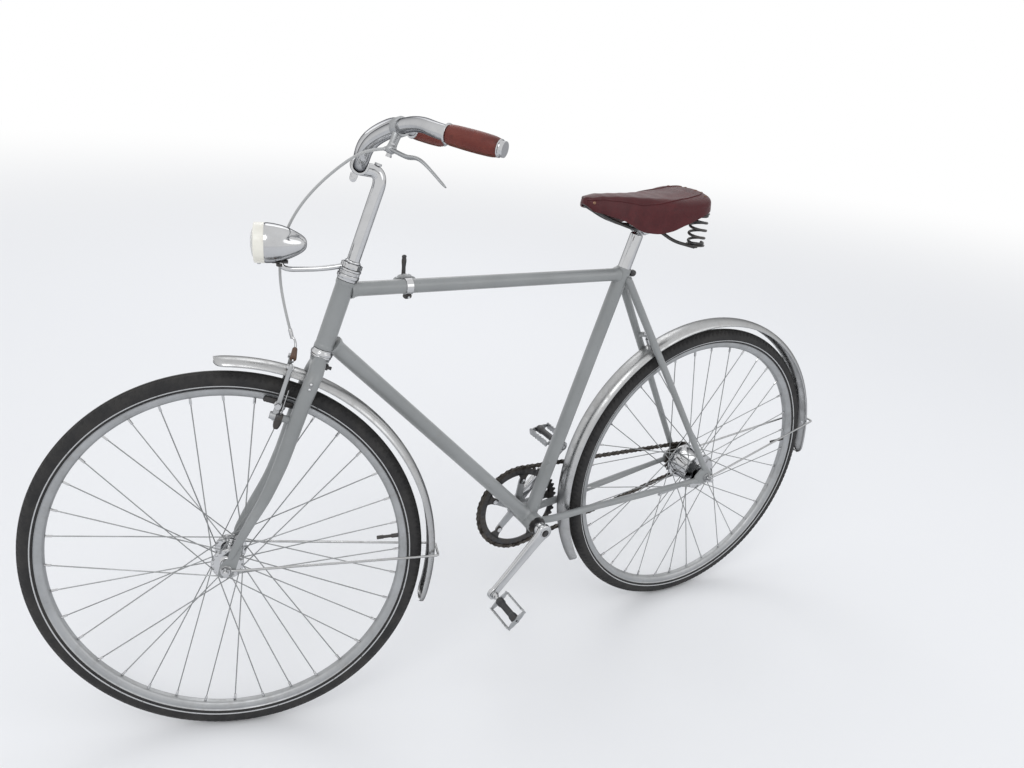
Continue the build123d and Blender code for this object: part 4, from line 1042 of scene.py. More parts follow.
# Fork: tapered, raked blades of oval section with flat slotted tips, and a rounded crown
forkLook = {
    "blade": [  # distance up the axis, ahead of it, to the side, and radius
        (397, 0, 13.5, 10.8), (388, 0.5, 22, 12.2), (376, 1.2, 33.5, 12.8), (362, 3, 42, 12.7),
        (342, 4.5, 45, 12.6), (320, 6, 46, 12.5), (265, 7, 46.8, 12.1), (215, 8, 47.5, 11.5),
        (182, 10.5, 48.2, 10.7), (150, 14, 49, 10), (125, 18.6, 49.7, 9.3), (100, 24, 50.5, 8.5),
        (70, 30, 51.3, 7.7), (44, 34.5, 52, 7), (30, 36.8, 52, 6), (22, 38, 52, 4)],
    "tipFront": [(20, 47), (7, 25), (-10, 9), (-14, -7), (-10, -14)],
    "tipBack": [(9, -14), (16, 0), (28, 39)],
    "crownUp": 0.386, "crownHalf": 0.021, "oval": 0.10,
    "crownRadii": (9, 12.2, 13, 13.4, 13.6, 13.4, 13, 12.2, 9),
}
bladeTable = np.array(forkLook["blade"])
tipOutline = roundedOutline(forkLook["tipFront"] + stayTable["dropSlot"] + forkLook["tipBack"], 2.5, 4)
for side, name in ((-1, "left"), (1, "right")):
    line = smoothLine(alongRows(bladeTable[:, :3], side), 4)
    at = np.linspace(0, len(bladeTable) - 1, len(line))
    up, radius = (np.interp(at, np.arange(len(bladeTable)), mm(bladeTable[:, k])) for k in (0, 3))
    high = np.clip((up - 0.15) / 0.15, 0, 1)
    deep = 1.0 + forkLook["oval"] * high  # deeper fore and aft at the top
    grids = [tube(line, radius * (1 - 0.04 * high), 32, steerAhead, deep),
             slab(tipOutline, frontAxle + side * yWay * 0.052, 5, 0.7)]
    if side < 0:  # two bright peg screws on the near blade's face
        grids += [ball(along(up, 0.004, side * 0.0548), 0.0030, 1, 14, 9) for up in (0.364, 0.355)]
    piece(name + "RakedForkBlade", grids, "paint chrome", "steering", name + "_fork_blade")

crown = along(forkLook["crownUp"])
crownLine = crown + np.linspace(-forkLook["crownHalf"], forkLook["crownHalf"], 9)[:, None] * yWay
base, rimTop, column = (1000 * v for v in (raceLow - 0.006, raceTop, columnTop))
crownGrids = [
    tube(crownLine, mm(forkLook["crownRadii"]), 32, steerUp),
    spun([(0, 374), (11.9, 374.2), (12.7, 376), (12.7, base)], steerFoot, steerUp, 40),
    spun([(12.7, 392), (16.5, 394), (16.8, base - 0.2), (12.7, base)], steerFoot, steerUp, 44, "", cut=1),
    spun([(12.6, rimTop), (12.6, column), (11.3, column), (11.3, rimTop)], steerFoot, steerUp, 40, "loop", 1),
    rod(crown - steerAhead * 0.0120, crown - steerAhead * 0.0240, 0.0030, 14, 2),
    hexNut(crown, -steerAhead, 12.8, 18, 10, 2)]
piece("roundedForkCrown", crownGrids, "paint chrome black", "steering", "fork_steerer")
print("fork and headset are dressed")


# Stem: quill, swan neck of constant round section and a split clamp with its bolt
stemLook = {
    "quill": 0.0110, "top": 0.725, "bend": 0.030, "inColumn": 0.050,
    "lugWay": -steerUp * 0.93 + steerAhead * 0.16, "lugOut": 0.0176,
}
barLook = {  # distance up the steering axis, ahead of it and to the side
    "table": [
              (720, 40, 0), (725, 40, 34), (761, 42, 66), (789, 24, 105), (816, -7, 170),
              (813, -37, 232), (821, -117, 289)],
    "radius": 0.0111, "bend": 0.036, "gripFrom": 0.012,
    "ring": [(11.2, -4.8), (14.6, -4.2), (15, -0.6), (11.2, 0.2)],
    "cap": [(0, 0), (4.5, -0.3), (8.5, -1.6), (11, -4), (11.6, -6.2), (12.6, -6.6), (12.7, -8.4), (11, -9)],
}
clampCentre = along(*mm(barLook["table"][1][:2]))  # the bar runs straight through here
neckEnds = along(columnTop - stemLook["inColumn"]), along(*mm(barLook["table"][0]))
neckLine = roundedLine([neckEnds[0], along(stemLook["top"] + 0.003), neckEnds[1]], stemLook["bend"], 14)
straight = neckLine[0] + (neckLine[1] - neckLine[0]) * np.linspace(0.1, 0.9, 8)[:, None]
neckLine = np.vstack([neckLine[:1], straight, neckLine[1:]])
lug = clampCentre + unit(stemLook["lugWay"]) * stemLook["lugOut"]
bolt = neckLine[np.argmax(neckLine @ steerUp)] + steerUp * (stemLook["quill"] - 0.0006)
washer = [(11.1, column + 0.2), (13.5, column + 0.2), (13.2, column + 3), (11.1, column + 4.2)]
stemGrids = [
    tube(neckLine, stemLook["quill"], 36, yWay),
    spun(washer, steerFoot, steerUp, 40, "", cut=0.8),
    spun(collar(11.2, 15, -18, 18), clampCentre, yWay, 48, "loop", cut=1.8, steps=4)]
for side in (-1, 1):
    lugSide = lug + side * yWay * 0.0042
    stemGrids.append(slab(stadium(6, 6.2, 5.5), lugSide, 5, 0.8, axes=(-steerUp, steerAhead)))
stemGrids += [pinAcross(lug, 0.0120, 0.0028, 14), hexNut(lug, -yWay, 6.8, 11.8, 9),
              hexNut(bolt - steerAhead * 0.002, steerUp, 0, 4.2, 10.5)]
piece("swanNeckStem", stemGrids, "chrome", "steering", "stem")

# Handlebar: one swept tube whose corners are cut by arcs, with a ring and a cap at each grip
leftLine = alongRows(barLook["table"], -1)
rightLine = leftLine * vec(1, -1, 1)
wholeBar = roundedLine(np.vstack([leftLine[:0:-1], rightLine[1:]]), barLook["bend"], 10)
barGrids = [tube(wholeBar, barLook["radius"], 32, steerUp)]
for half in (leftLine, rightLine):
    way = unit(half[-1] - half[-2])
    barGrids.append(spun(barLook["ring"], half[-2] + way * barLook["gripFrom"], way, 40, "loop", cut=0.8))
    barGrids.append(spun(barLook["cap"], half[-1], way))
piece("sweptHandlebar", barGrids, "chrome", "steering", "handlebar")

gripLook = {
    "from": 0.0122, "short": 0.0074, "radius": 0.0143, "barrel": 0.0009, "seam": 0.0009,
    "seamWay": (-0.93, 0.35), "stitches": 30, "stitchHalf": 0.0011, "stitchWire": 0.00045, "aside": 0.16,
}


# Grip: a leather sleeve, a little barrelled, r = R + b * sin(pi s) less a fading step at each end,
# with a raised seam of stitches along its lower side
def leatherGrip(half):
    look = gripLook
    way = unit(half[-1] - half[-2])
    start, end = half[-2] + way * look["from"], half[-1] - way * look["short"]
    s = np.linspace(0, 1, 30)
    line = start + (end - start) * s[:, None]
    radius = look["radius"] + look["barrel"] * np.sin(np.pi * s)
    radius = radius - 0.0012 * np.exp(-s / 0.03) - 0.0026 * np.exp(-(1 - s) / 0.07)
    normal, across = carryFrames(line, steerUp)
    seam = unit(normal * look["seamWay"][0] + across * look["seamWay"][1])
    seamLine = line[1:-1] + seam[1:-1] * (radius[1:-1, None] - 0.0002)
    grids = [tube(line, radius, 40, steerUp), tube(seamLine, look["seam"], 8)]
    for sign in (-1, 1):
        for a in np.linspace(0.05, 0.95, look["stitches"]):
            i = int(a * (len(line) - 1))
            outward = unit(seam[i] * np.hypot(*look["seamWay"]) + across[i] * sign * look["aside"])
            stitch = start + (end - start) * a + outward * (radius[i] + 0.0001)
            half = way * look["stitchHalf"]
            grids.append(rod(stitch - half, stitch + half, look["stitchWire"], 6, 1))
    return grids


piece("leftLeatherGrip", leatherGrip(leftLine), "grip brown", "steering", "left_grip")
piece("rightLeatherGrip", leatherGrip(rightLine), "grip brown", "steering", "right_grip")
print("handlebar is dressed")


# Brake lever: a strap round the bar, a pivot body and a flat blade that curves away below the grip
leverLook = {
    "share": 0.45, "strap": collar(11.2, 14.8, -7.5, 7.5),
    "table": [(767, 13, -150), (765, -9, -170), (767, -30, -186), (745, -72, -208)],
    "neck": [9.4, 7, 6.6, 7.8], "neckAt": [0, 0.3, 0.7, 1], "neckDeep": 0.86,
    "wide": [7, 7.8, 8, 6.6, 5.2, 4.6], "flat": 0.42, "pivot": 0.0094,
}
strapAt = leftLine[3] + (leftLine[4] - leftLine[3]) * leverLook["share"]
strapWay = unit(leftLine[4] - leftLine[3])
leverPoints = alongRows(leverLook["table"])
pivot = leverPoints[0]
share = np.linspace(0, 1, 10)
neck = strapAt + (pivot - strapAt) * np.linspace(0.18, 1.0, 10)[:, None]
neckWide = np.interp(share, leverLook["neckAt"], mm(leverLook["neck"]))
bladeLine = smoothLine(leverPoints, 12)
bladeWide = np.interp(np.linspace(0, 1, len(bladeLine)), np.linspace(0, 1, 6), mm(leverLook["wide"]))
bladeWide[-2:] *= (0.85, 0.55)
leverGrids = [spun(leverLook["strap"], strapAt, strapWay, 44, "loop", cut=1.2),
              tube(neck, neckWide, 28, strapWay, leverLook["neckDeep"]),
              ball(pivot, 0.0084, 0, 20, 11, (1.0, 0.9, 0.9)),
              tube(bladeLine, bladeWide, 24, steerUp, leverLook["flat"]),
              rod(pivot - steerUp * leverLook["pivot"], pivot + steerUp * leverLook["pivot"], 0.0040, 18, 1),
              hexNut(pivot, -steerUp, 9, 11.8, 8, 1)]
piece("curvedBrakeLever", leverGrids, "alloy chrome", "steering", "brake_lever")

# Brake cable: a sleeve with a ferrule at each end, the bent guide pipe and its ribbed boot
cableLook = {
    "sleeve": 0.0024,
    "route": [
              (767, 15, -148), (752, 46, -100), (713, 71, -30), (653, 101, 32), (584, 120, 47),
              (514, 111, 47), (456, 82, 44), (412, 55, 39)],
    "ferrule": [(0, -6), (3.2, -6), (3.4, 2), (3.4, 10), (2.8, 11.6), (2.4, 11.8)],
    "pipe": 0.0020, "pipeBend": 0.016,
    "pipeRoute": [(412, 55, 39), (404, 44, 34), (386, 43, -32.5)],
    "bootShares": (0.34, 0.86), "boot": (0.0036, 0.0016), "bootRib": 0.0007, "bootRibs": 9, "bootEnd": 0.0016,
}


# Sleeve line: a cubic B-spline through its control points, blended with the weights of the basis functions
def splineLine(points, perRun=14):
    p = np.vstack([points[:1], points[:1], points, points[-1:], points[-1:]])
    t = np.linspace(0, 1, perRun, endpoint=False)[:, None, None]
    a, b, c, d = (p[k:len(p) - 3 + k][None] for k in range(4))
    line = (1 - t) ** 3 * a + (3 * t**3 - 6 * t**2 + 4) * b
    line = line + (-3 * t**3 + 3 * t**2 + 3 * t + 1) * c + t**3 * d
    return np.vstack([np.swapaxes(line / 6, 0, 1).reshape(-1, 3), p[-1:]])


sleeveLine = splineLine(alongRows(cableLook["route"]))
flow = unit(np.gradient(sleeveLine, axis=0))
cableGrids = [tube(sleeveLine, cableLook["sleeve"], 14)]
for k, way in ((2, flow[2]), (-3, -flow[-3])):
    cableGrids.append(spun(cableLook["ferrule"], sleeveLine[k], way, 20, finish=1, cut=0.5, steps=2))
pipePoints = alongRows(cableLook["pipeRoute"])
cableGrids.append(tube(roundedLine(pipePoints, cableLook["pipeBend"], 12), cableLook["pipe"], 14, finish=1))
# Boot: r = R + g * s + d * |sin(n pi s)|, less a step that fades in from each end
s = np.linspace(0, 1, 61)
bootFrom, bootTo = cableLook["bootShares"]
boot = pipePoints[1] + (pipePoints[2] - pipePoints[1]) * (bootFrom + (bootTo - bootFrom) * s[:, None])
bootRadius = cableLook["boot"][0] + cableLook["boot"][1] * s
bootRadius += cableLook["bootRib"] * np.abs(np.sin(cableLook["bootRibs"] * np.pi * s))
bootRadius -= cableLook["bootEnd"] * (np.exp(-s / 0.02) + np.exp(-(1 - s) / 0.02))
cableGrids.append(tube(boot, bootRadius, 24, finish=2))
piece("sleevedBrakeCable", cableGrids, "sleeve chrome brown", "steering", "brake_cable")

# Brake: slim flat arms on a pivot boss with a black spring cover, a pinch bolt above and a stud for the pad
brakeLook = {
    "up": 0.290, "ahead": 0.043, "y": 0.042, "long": 0.093, "topY": 0.037, "below": 0.008, "deep": 0.0090,
    "wideAt": [0, 0.04, 0.12, 0.3, 0.75, 0.92, 0.98, 1], "wide": [0.7, 1, 1.2, 0.95, 0.8, 0.98, 0.85, 0.5],
    "spring": [(0, 18), (7.8, 18), (8, 20.5), (8, 28.5), (6.6, 30), (0, 30)],
    "bossHead": [(0, 0.6), (3.6, 0.4), (5, -1), (5.2, -3)],
    "cover": [6.4, 7, 6.8, 6.2, 5.4, 3.4],
    "washer": [(3.4, 34.5), (7.2, 34.5), (6.4, 37.2), (3.4, 37.2)],
    "clampHead": [(0, -6.2), (3, -6), (4.4, -5.2), (4.4, -3)],
    "padUp": 0.019, "padHalf": 0.0258, "padWide": 0.0052, "padBow": 0.0009, "padSlots": 5, "padSlot": 0.0007,
}


def squared(wave, power):  # a circle's sine or cosine drawn towards a square's
    return np.sign(wave) * np.abs(wave) ** power


def padOutline():  # a block that follows the rim a little, slotted across and with rounded ends
    look = brakeLook
    x = np.linspace(-look["padHalf"], look["padHalf"], 53)
    arc = look["padBow"] * (x / look["padHalf"]) ** 2
    slots = np.abs(np.sin(np.pi * look["padSlots"] * (x / (2 * look["padHalf"]) + 0.5))) > 0.94
    ends = 0.0030 * np.clip((np.abs(x) - 0.0225) / 0.0033, 0, 1) ** 2
    edge = look["padWide"] - look["padSlot"] * slots - ends
    return np.vstack([np.column_stack([x, edge - arc]), np.column_stack([x, -edge - arc])[::-1]])


turn = circle(24)
armSection = np.column_stack([squared(np.cos(turn), 0.5), 0.80 * squared(np.sin(turn), 0.5)])
padBlocks = []
for side, name in ((-1, "left"), (1, "right")):
    look = brakeLook
    sideWay = side * yWay
    pivot = along(look["up"], look["ahead"], side * look["y"])
    top = along(look["up"] + look["long"], look["ahead"], side * look["topY"])
    way = unit(top - pivot)
    line = pivot + way * np.linspace(-look["below"], look["long"], 18)[:, None]
    out = unit(sideWay - way * (way @ sideWay))
    wide = look["deep"] / 2 * np.interp(np.linspace(0, 1, 18), look["wideAt"], look["wide"])
    bossStart = along(look["up"], 0.012, side * look["y"])
    bossEnd = along(look["up"], look["ahead"] + 0.0085, side * look["y"])
    cover = pivot - steerAhead * 0.0075 - way * np.linspace(0.002, 0.021, 6)[:, None]
    springWire = pivot - steerAhead * 0.0085 + way * np.linspace(0.004, 0.050, 8)[:, None] + out * 0.0035
    padFlat = (pivot + way * look["padUp"]) * vec(1, 0, 1)
    pinch = top - way * 0.006
    grids = [
        carry(line, armSection, wide, out),
        tube([bossStart, bossStart + steerAhead * 0.018], [0.0070, 0.0064], 28, finish=3),
        spun(look["spring"], bossStart, steerAhead, 32, "both", 2, 0.6, 2),
        tube([bossStart + steerAhead * 0.028, bossEnd], [0.0066, 0.0064], 28),
        hexNut(bossEnd, steerAhead, -0.4, 0.4, 10, 1),
        spun(look["bossHead"], bossEnd, steerAhead, 20, finish=1),
        tube(cover, mm(look["cover"]), 20, out, 0.8, 2),
        tube(springWire, 0.0009, 8, finish=1),
        rod(padFlat + sideWay * 0.0262, padFlat + sideWay * 0.0505, 0.0034, 18, 1),
        hexNut(padFlat, sideWay, 46.2, 50.2, 10, 1),
        spun(look["washer"], padFlat, sideWay, 24, "loop", 1, 0.4, 2),
        hexNut(pinch, steerAhead, 3, 6.8, 7.8, 1),
        spun(look["clampHead"], pinch, steerAhead, 18, finish=1)]
    piece(name + "SlimBrakeArm", grids, "alloy chrome black paint", "steering", name + "_brake_arm")
    spokeWay = unit((padFlat - frontAxle) * vec(1, 0, 1))
    axes = vec(spokeWay[2], 0, -spokeWay[0]), spokeWay
    middle = padFlat + sideWay * 0.0213
    holder = stadium(40, 4.6, 4.6, 10) - mm([20, 0])
    padBlocks += [slab(padOutline(), middle - sideWay * 0.0012, 5.6, 0.8, axes=axes),
                  slab(holder, middle + sideWay * 0.0028, 3.2, 0.8, 3, 1, axes),
                  hexNut(middle, sideWay, 4, 7.6, 9.6, 2)]
piece("slottedBrakePads", padBlocks, "rubber black chrome", "steering", "brake_pads")
print("brake is dressed")


# Headlamp: a bullet shell, cream front ring, ribbed glass with a pale reflector, and its bent rod
lampLook = {
    "back": (0.576, 0.079),
    "shell": [(0, 0), (6.2, 0.6), (10.5, 3.4), (14.5, 8), (19.2, 16), (24.6, 27), (29, 39), (31.6, 51),
              (32.7, 60), (32.9, 65.2), (32.2, 66.4), (32.2, 68)],
    "ring": [(32.2, 67.2), (33, 67.8), (33, 82.6), (31.8, 84.2), (29.6, 84), (29, 80), (29, 74)],
    "screw": [(0, 35), (2.2, 34.8), (3, 33.8), (3, 31)],
    "reflector": [(28, 79), (20, 72), (10, 67), (0, 66)],
    "glass": 0.0292, "glassAt": 0.0800, "dome": 0.0092, "ribs": 13, "rib": 0.0005,
    "rod": [(561, 14, 0), (545, 44, 0), (523, 103, 0), (537, 112, 0)],
    "rodRadius": 0.0044, "rodBend": 0.020,
}
lampBack = along(*lampLook["back"])
lampGrids = [spun(lampLook["shell"], lampBack, -xWay, 64, cut=4, steps=4),
             spun(lampLook["ring"], lampBack, -xWay, 64, "loop", 1, 1),
             spun(lampLook["screw"], lampBack - xWay * 0.0770, -zWay, 14)]
piece("bulletHeadlamp", lampGrids, "chrome cream", "steering", "headlamp")


# Lens: a dome h(r) = H * sqrt(1 - (r / R) ** 2) whose face is waved across by a sine of the sideways place
def lampGlass(look):
    share = np.sin(np.linspace(0.02, np.pi / 2, 20))[:, None]
    y, z = (share * look["glass"] * wave for wave in (np.cos(circle(72)), np.sin(circle(72))))
    wave = np.abs(np.sin(np.pi * look["ribs"] * (y / look["glass"] + 1) / 2))
    h = look["dome"] * np.sqrt(np.clip(1 - share**2, 0, 1)) + look["rib"] * wave * (1 - share**6)
    return grid(lampBack + np.stack([-(look["glassAt"] + h), y, z], -1))


reflector = spun(lampLook["reflector"], lampBack, -xWay, 48, finish=1)
piece("ribbedLampLens", [lampGlass(lampLook), reflector], "lens chrome", "steering", "headlamp_lens")
rodPoints = alongRows(lampLook["rod"])
mount = rodPoints[-1]
rodGrids = [tube(roundedLine(rodPoints, lampLook["rodBend"], 12), lampLook["rodRadius"], 20),
            spun(collar(12.9, 18.8, 0.2, 3.8), along(raceTop), steerUp, 56, "loop", cut=0.6, steps=2),
            tube(mount + mm([(-13, 0, -3.5), (13, 0, -3.5)]), 0.0048, 20, deep=0.62, finish=1),
            hexNut(mount, -zWay, 6, 11.2, 10.8, 1)]
piece("bentLampRod", rodGrids, "chrome black", "steering", "headlamp_bracket")
print("lamp is dressed")


# Saddle hide: cross-sections (x, half shoulder, half hem, top, shoulder, hem) joined by Catmull-Rom lines
saddleLook = {
    "stations": [
        (-196.4, 8, 10, -10.5, -17, -23.5), (-193, 15, 16.5, -7.8, -17.5, -27.5),
        (-185, 20.5, 22, -5.6, -18, -32.5), (-165, 24.2, 26.2, -3.6, -19, -37),
        (-120, 29.5, 34.5, -3.5, -22, -49), (-80, 40.5, 47.5, -4.2, -24.5, -68.5),
        (-40, 58, 65.5, -4.2, -23.5, -67), (0, 75.5, 81.5, -2.5, -19, -46),
        (30, 82.5, 85.5, 2, -11.5, -30.5), (48, 76, 80, 5.8, -5.5, -23),
        (59, 61, 66.5, 7.5, -2.5, -18.5), (65.2, 46, 51, 6.8, -3.5, -16.5)],
    "crease": 0.74, "drop": 0.0030, "thick": 0.0040, "across": 56,
    "sag": 0.0012, "sagWave": 95, "wrinkle": 0.0007, "wrinkleWaves": (260, 60),
    "noseOut": -0.0032, "rearOut": 0.0011, "welt": 0.00135, "weltAt": 0.285,
    "rivets": [(0.060, 0.30), (0.060, 0.62), (0.050, 0.90), (-0.186, None)],  # place, share of the half width
    "rivet": [(0, 1), (1.8, 0.8), (2.9, 0.3), (3.1, -1.2)],
}


# Each section: top, crease, shoulder and hem on one half, rounded by a cubic, mirrored, then resampled evenly
def hideSection(row, inset=0.0):
    x, shoulder, hem, top, shoulderZ, hemZ = row
    crease, drop = shoulder * saddleLook["crease"], saddleLook["drop"]
    half = np.array([
        [hem - inset, hemZ], [0.5 * (hem + shoulder) + 0.0012 - inset, 0.55 * hemZ + 0.45 * shoulderZ],
        [shoulder - inset, shoulderZ + 0.002 - inset * 0.3], [crease - inset * 0.4, top - drop - inset],
        [crease * 0.5, top - 0.25 * drop - inset], [0.0, top - inset]])
    ring = smoothLine(np.vstack([half * np.array([-1, 1]), half[-2::-1]]), 8)
    step = np.concatenate([[0], np.cumsum(np.linalg.norm(np.diff(ring, axis=0), axis=1))])
    even = np.linspace(0, step[-1], saddleLook["across"])
    return np.column_stack([np.full(len(even), x)] + [np.interp(even, step, ring[:, k]) for k in (0, 1)])


stations = smoothLine(mm(saddleLook["stations"]), 7)
outerHide = np.array([hideSection(row) for row in stations])
innerHide = np.array([hideSection(row, saddleLook["thick"]) for row in stations])
x, y, z = np.moveaxis(outerHide, -1, 0).copy()
# Sat-in waves on the top, and wrinkles that deepen down the sides
sag = saddleLook["sag"] * np.sin(x * saddleLook["sagWave"]) * np.exp(-((y / 0.05) ** 2))
wrinkle = np.sin(x * saddleLook["wrinkleWaves"][0] + y * saddleLook["wrinkleWaves"][1])
wrinkle = saddleLook["wrinkle"] * wrinkle * np.clip(-z / 0.05, 0, 1)
outerHide[..., 2] -= np.abs(sag) * 0.8
outerHide[..., 1] += wrinkle * np.sign(y)
hideGrids = [grid(np.concatenate([outerHide, innerHide[:, ::-1]], axis=1), "both", 0, (6.0, 3.0))]
# Nose and rear: the outer arc swept in to its own middle as q = m + (p - m) * cos(t), out by d * sin(t)
for ring, outX in ((outerHide[0], saddleLook["noseOut"]), (outerHide[-1], saddleLook["rearOut"])):
    whole = np.vstack([ring, ring[::-1] * vec(1, 1, 0) + zWay * (ring[:, 2].min() - 0.0002)])
    middle = whole.mean(0)
    t = np.linspace(0, np.pi / 2 - 0.04, 8)[:, None, None]
    dome = middle + (whole - middle) * (np.cos(t) * vec(0, 1, 1) + xWay) + np.sin(t) * xWay * outX
    hideGrids.append(grid(dome))
weltRow = int(saddleLook["across"] * saddleLook["weltAt"])
for k in (weltRow, saddleLook["across"] - 1 - weltRow):  # a rolled welt along each shoulder
    hideGrids.append(tube(outerHide[3:-2, k] + zWay * 0.0001, saddleLook["welt"], 10))
for side in (-1, 1):  # copper rivets along the rear edge and one each side of the nose
    for x, share in saddleLook["rivets"]:
        k = int(np.argmin(np.abs(stations[:, 0] - x)))
        pick = int((saddleLook["across"] - 1) * (0.20 if share is None else 0.5 - 0.5 * share * 0.66))
        lengthways = outerHide[k + 1, pick] - outerHide[k - 1, pick]
        flow = np.cross(lengthways, outerHide[k, pick + 1] - outerHide[k, pick - 1])
        flow *= np.sign(flow @ (outerHide[k, pick] - vec(x, 0, -0.03)))
        flip = vec(1, -side, 1)
        hideGrids.append(spun(saddleLook["rivet"], outerHide[k, pick] * flip, flow * flip, 16, finish=1))
piece("maroonSaddleHide", hideGrids, "saddle rivet", "frame", "saddle_leather")

# Rails, spring seats and the wire coils that carry the rear edge
railLook = {
    "line": [
             (-190, 10, -25.5), (-138, 15, -51), (-85, 21, -68), (-30, 21, -68), (0, 45, -89),
             (37, 66, -96.5)],
    "bend": 0.016, "radius": 0.0034,
    "dish": [(0, 0), (18.5, 0.2), (18.8, 1.8), (17.7, 3.4), (0, 3.4)],
    "nose": [(-193.5, -12), (-176, -14), (-168, 0), (-176, 14), (-193.5, 12)],
}
springLook = {
    "at": vec(0.037, 0.066, 0), "low": -0.089, "top": -0.030, "radius": 0.0162, "wire": 0.0027, "turns": 4.5,
    "barrel": 0.14, "dishBelow": 0.0035,
}
railGrids, coilGrids = [], []
for side in (-1, 1):
    flip = vec(1, side, 1)
    line = roundedLine(mm(railLook["line"]) * flip, railLook["bend"], 9)
    railGrids.append(tube(line, railLook["radius"], 16))
    dishLow = springLook["low"] - springLook["dishBelow"]
    for z in (dishLow, springLook["top"]):
        railGrids.append(spun(railLook["dish"], springLook["at"] * flip + zWay * z, zWay, cut=0.7))
    railGrids.append(hexNut(springLook["at"] * flip + zWay * dishLow, -zWay, 0, 5, 10))
    # Coil: a helix whose first and last half turns lie flat, r(s) a little barrel-shaped
    s = np.linspace(0, 1, 150)
    a = 2 * np.pi * springLook["turns"] * s
    low, top = springLook["low"] + springLook["wire"], springLook["top"] - springLook["wire"]
    rise = low + (top - low) * np.clip((s - 0.10) / 0.80, 0, 1)
    r = springLook["radius"] * (1 - springLook["barrel"] * (2 * s - 1) ** 2)
    coil = (springLook["at"] + np.stack([r * np.cos(a), r * np.sin(a), rise], -1)) * flip
    coilGrids.append(tube(coil, springLook["wire"], 10))
nosePlate = roundedOutline(railLook["nose"], 4, 4)
railGrids.append(slab(nosePlate, zWay * -0.0240, 3, 0.6, axes=(xWay, yWay)))
piece("blackSaddleRails", railGrids, "black", "frame", "saddle_rails")
piece("blackCoilSprings", coilGrids, "black", "frame", "saddle_springs")

# Saddle clamp: a split barrel across the rails between serrated washers and nuts, on a chrome post
clampLook = {
    "barrel": [(0, -15), (12.5, -15), (13.8, -13), (13.8, 13), (12.5, 15), (0, 15)],
    "washer": collar(0, 13.4, 15.2, 18.6), "teeth": 26, "tooth": 0.035,
    "ear": [(0, 18.8), (11.8, 18.8), (12.2, 20), (11.2, 24), (0, 24.6)],
    "post": [(0, -159.5), (13.1, -159), (13.1, -16.5), (11, -15), (11, -1.2), (0, -0.4)],
}
teeth = 1 + clampLook["tooth"] * np.sign(np.sin(clampLook["teeth"] * circle(104)))
clampGrids = [spun(clampLook["barrel"], postEnd, yWay, 44, cut=1.2)]
for side in (-1, 1):
    sideWay = side * yWay
    clampGrids += [spun(clampLook["washer"], postEnd, sideWay, 104, cut=0.5, steps=2, spread=teeth),
                   spun(clampLook["ear"], postEnd, sideWay, cut=0.8),
                   hexNut(postEnd, sideWay, 23.6, 26.8, 12.5)]
piece("chromeSaddleClamp", clampGrids, "chrome", "frame", "saddle_clamp")
post = spun(clampLook["post"], postEnd, seatUp, 48, cut=1.6, steps=4)
piece("polishedSeatPost", [post], "chrome", "frame", "seat_post")
print("saddle is dressed")


# Drive: pitch circles of chainring and sprocket, and the loop that the chain follows round them
driveLook = {
    "teeth": 48, "cog": 19, "pitch": 0.0127, "y": 0.047, "seat": 0.0037, "tip": 0.0016,
    "plateHalf": 0.0042, "waist": 0.0029, "plateThick": 0.0009, "innerY": 0.0018, "outerY": 0.0029,
    "roller": [(3.7, -1.4), (3.7, 1.4)], "pin": [(1.9, -3.5), (1.9, 3.5)],
    "ringInner": 0.0800, "cogInner": 0.0115, "ringThick": 2.8, "cogHub": collar(11, 21.5, 45, 48.8),
    "boltCircle": 0.064, "spiderIn": 0.004, "spiderY": 0.0505, "spiderThick": 4, "spiderLag": radians(36),
    "arms": 5,
    "tab": [(-8, -7), (-6, 7), (7, 7.2), (15, 12), (18, 16.5), (18, -16.5), (15, -12), (7, -7.2)],
    "nut": [(0, 45.1), (4.6, 45.1), (5.2, 44.5), (5.2, 43.8), (0, 43.6)],
    "head": [(0, 53.4), (3, 53.6), (5.2, 53.2), (5.8, 52.4), (5.8, 50)],
    "spiderHub": [(0, 52.6), (21.5, 52.6), (23.8, 51.6), (24, 48.6), (0, 48.4)],
    "spindle": [(8.4, 38), (8, 40), (8, 60.5), (7.4, 61.7), (0, 61.7)],
}
crankLook = {
    "long": 0.165, "angle": radians(49), "y": 0.0625, "thick": 0.013, "thinner": 0.14,
    "big": 0.017, "small": 0.0125, "wide": (0.0136, 0.0098), "waist": 0.10, "corner": 0.55, "flute": 0.0022,
    "fluteWide": 0.66,
    "boss": [(8.8, 46.6), (14.2, 46.6), (15, 48), (15, 59), (8.8, 59)],
    "rim": [(8.2, 68.8), (10.4, 68.8), (10.1, 69.8), (8.2, 69.8)],
    # cup is a disc over the crank bolt's hole, drawn black as painted shade of an open socket
    "cup": [(0, 69.2), (8.3, 69.2), (8.3, 68.6)],
    "eye": collar(5.2, 8.2, 56, 69.6),
}
ringPitch, cogPitch = (driveLook["pitch"] / (2 * np.sin(np.pi / driveLook[key])) for key in ("teeth", "cog"))
chainWay = yWay * driveLook["y"]


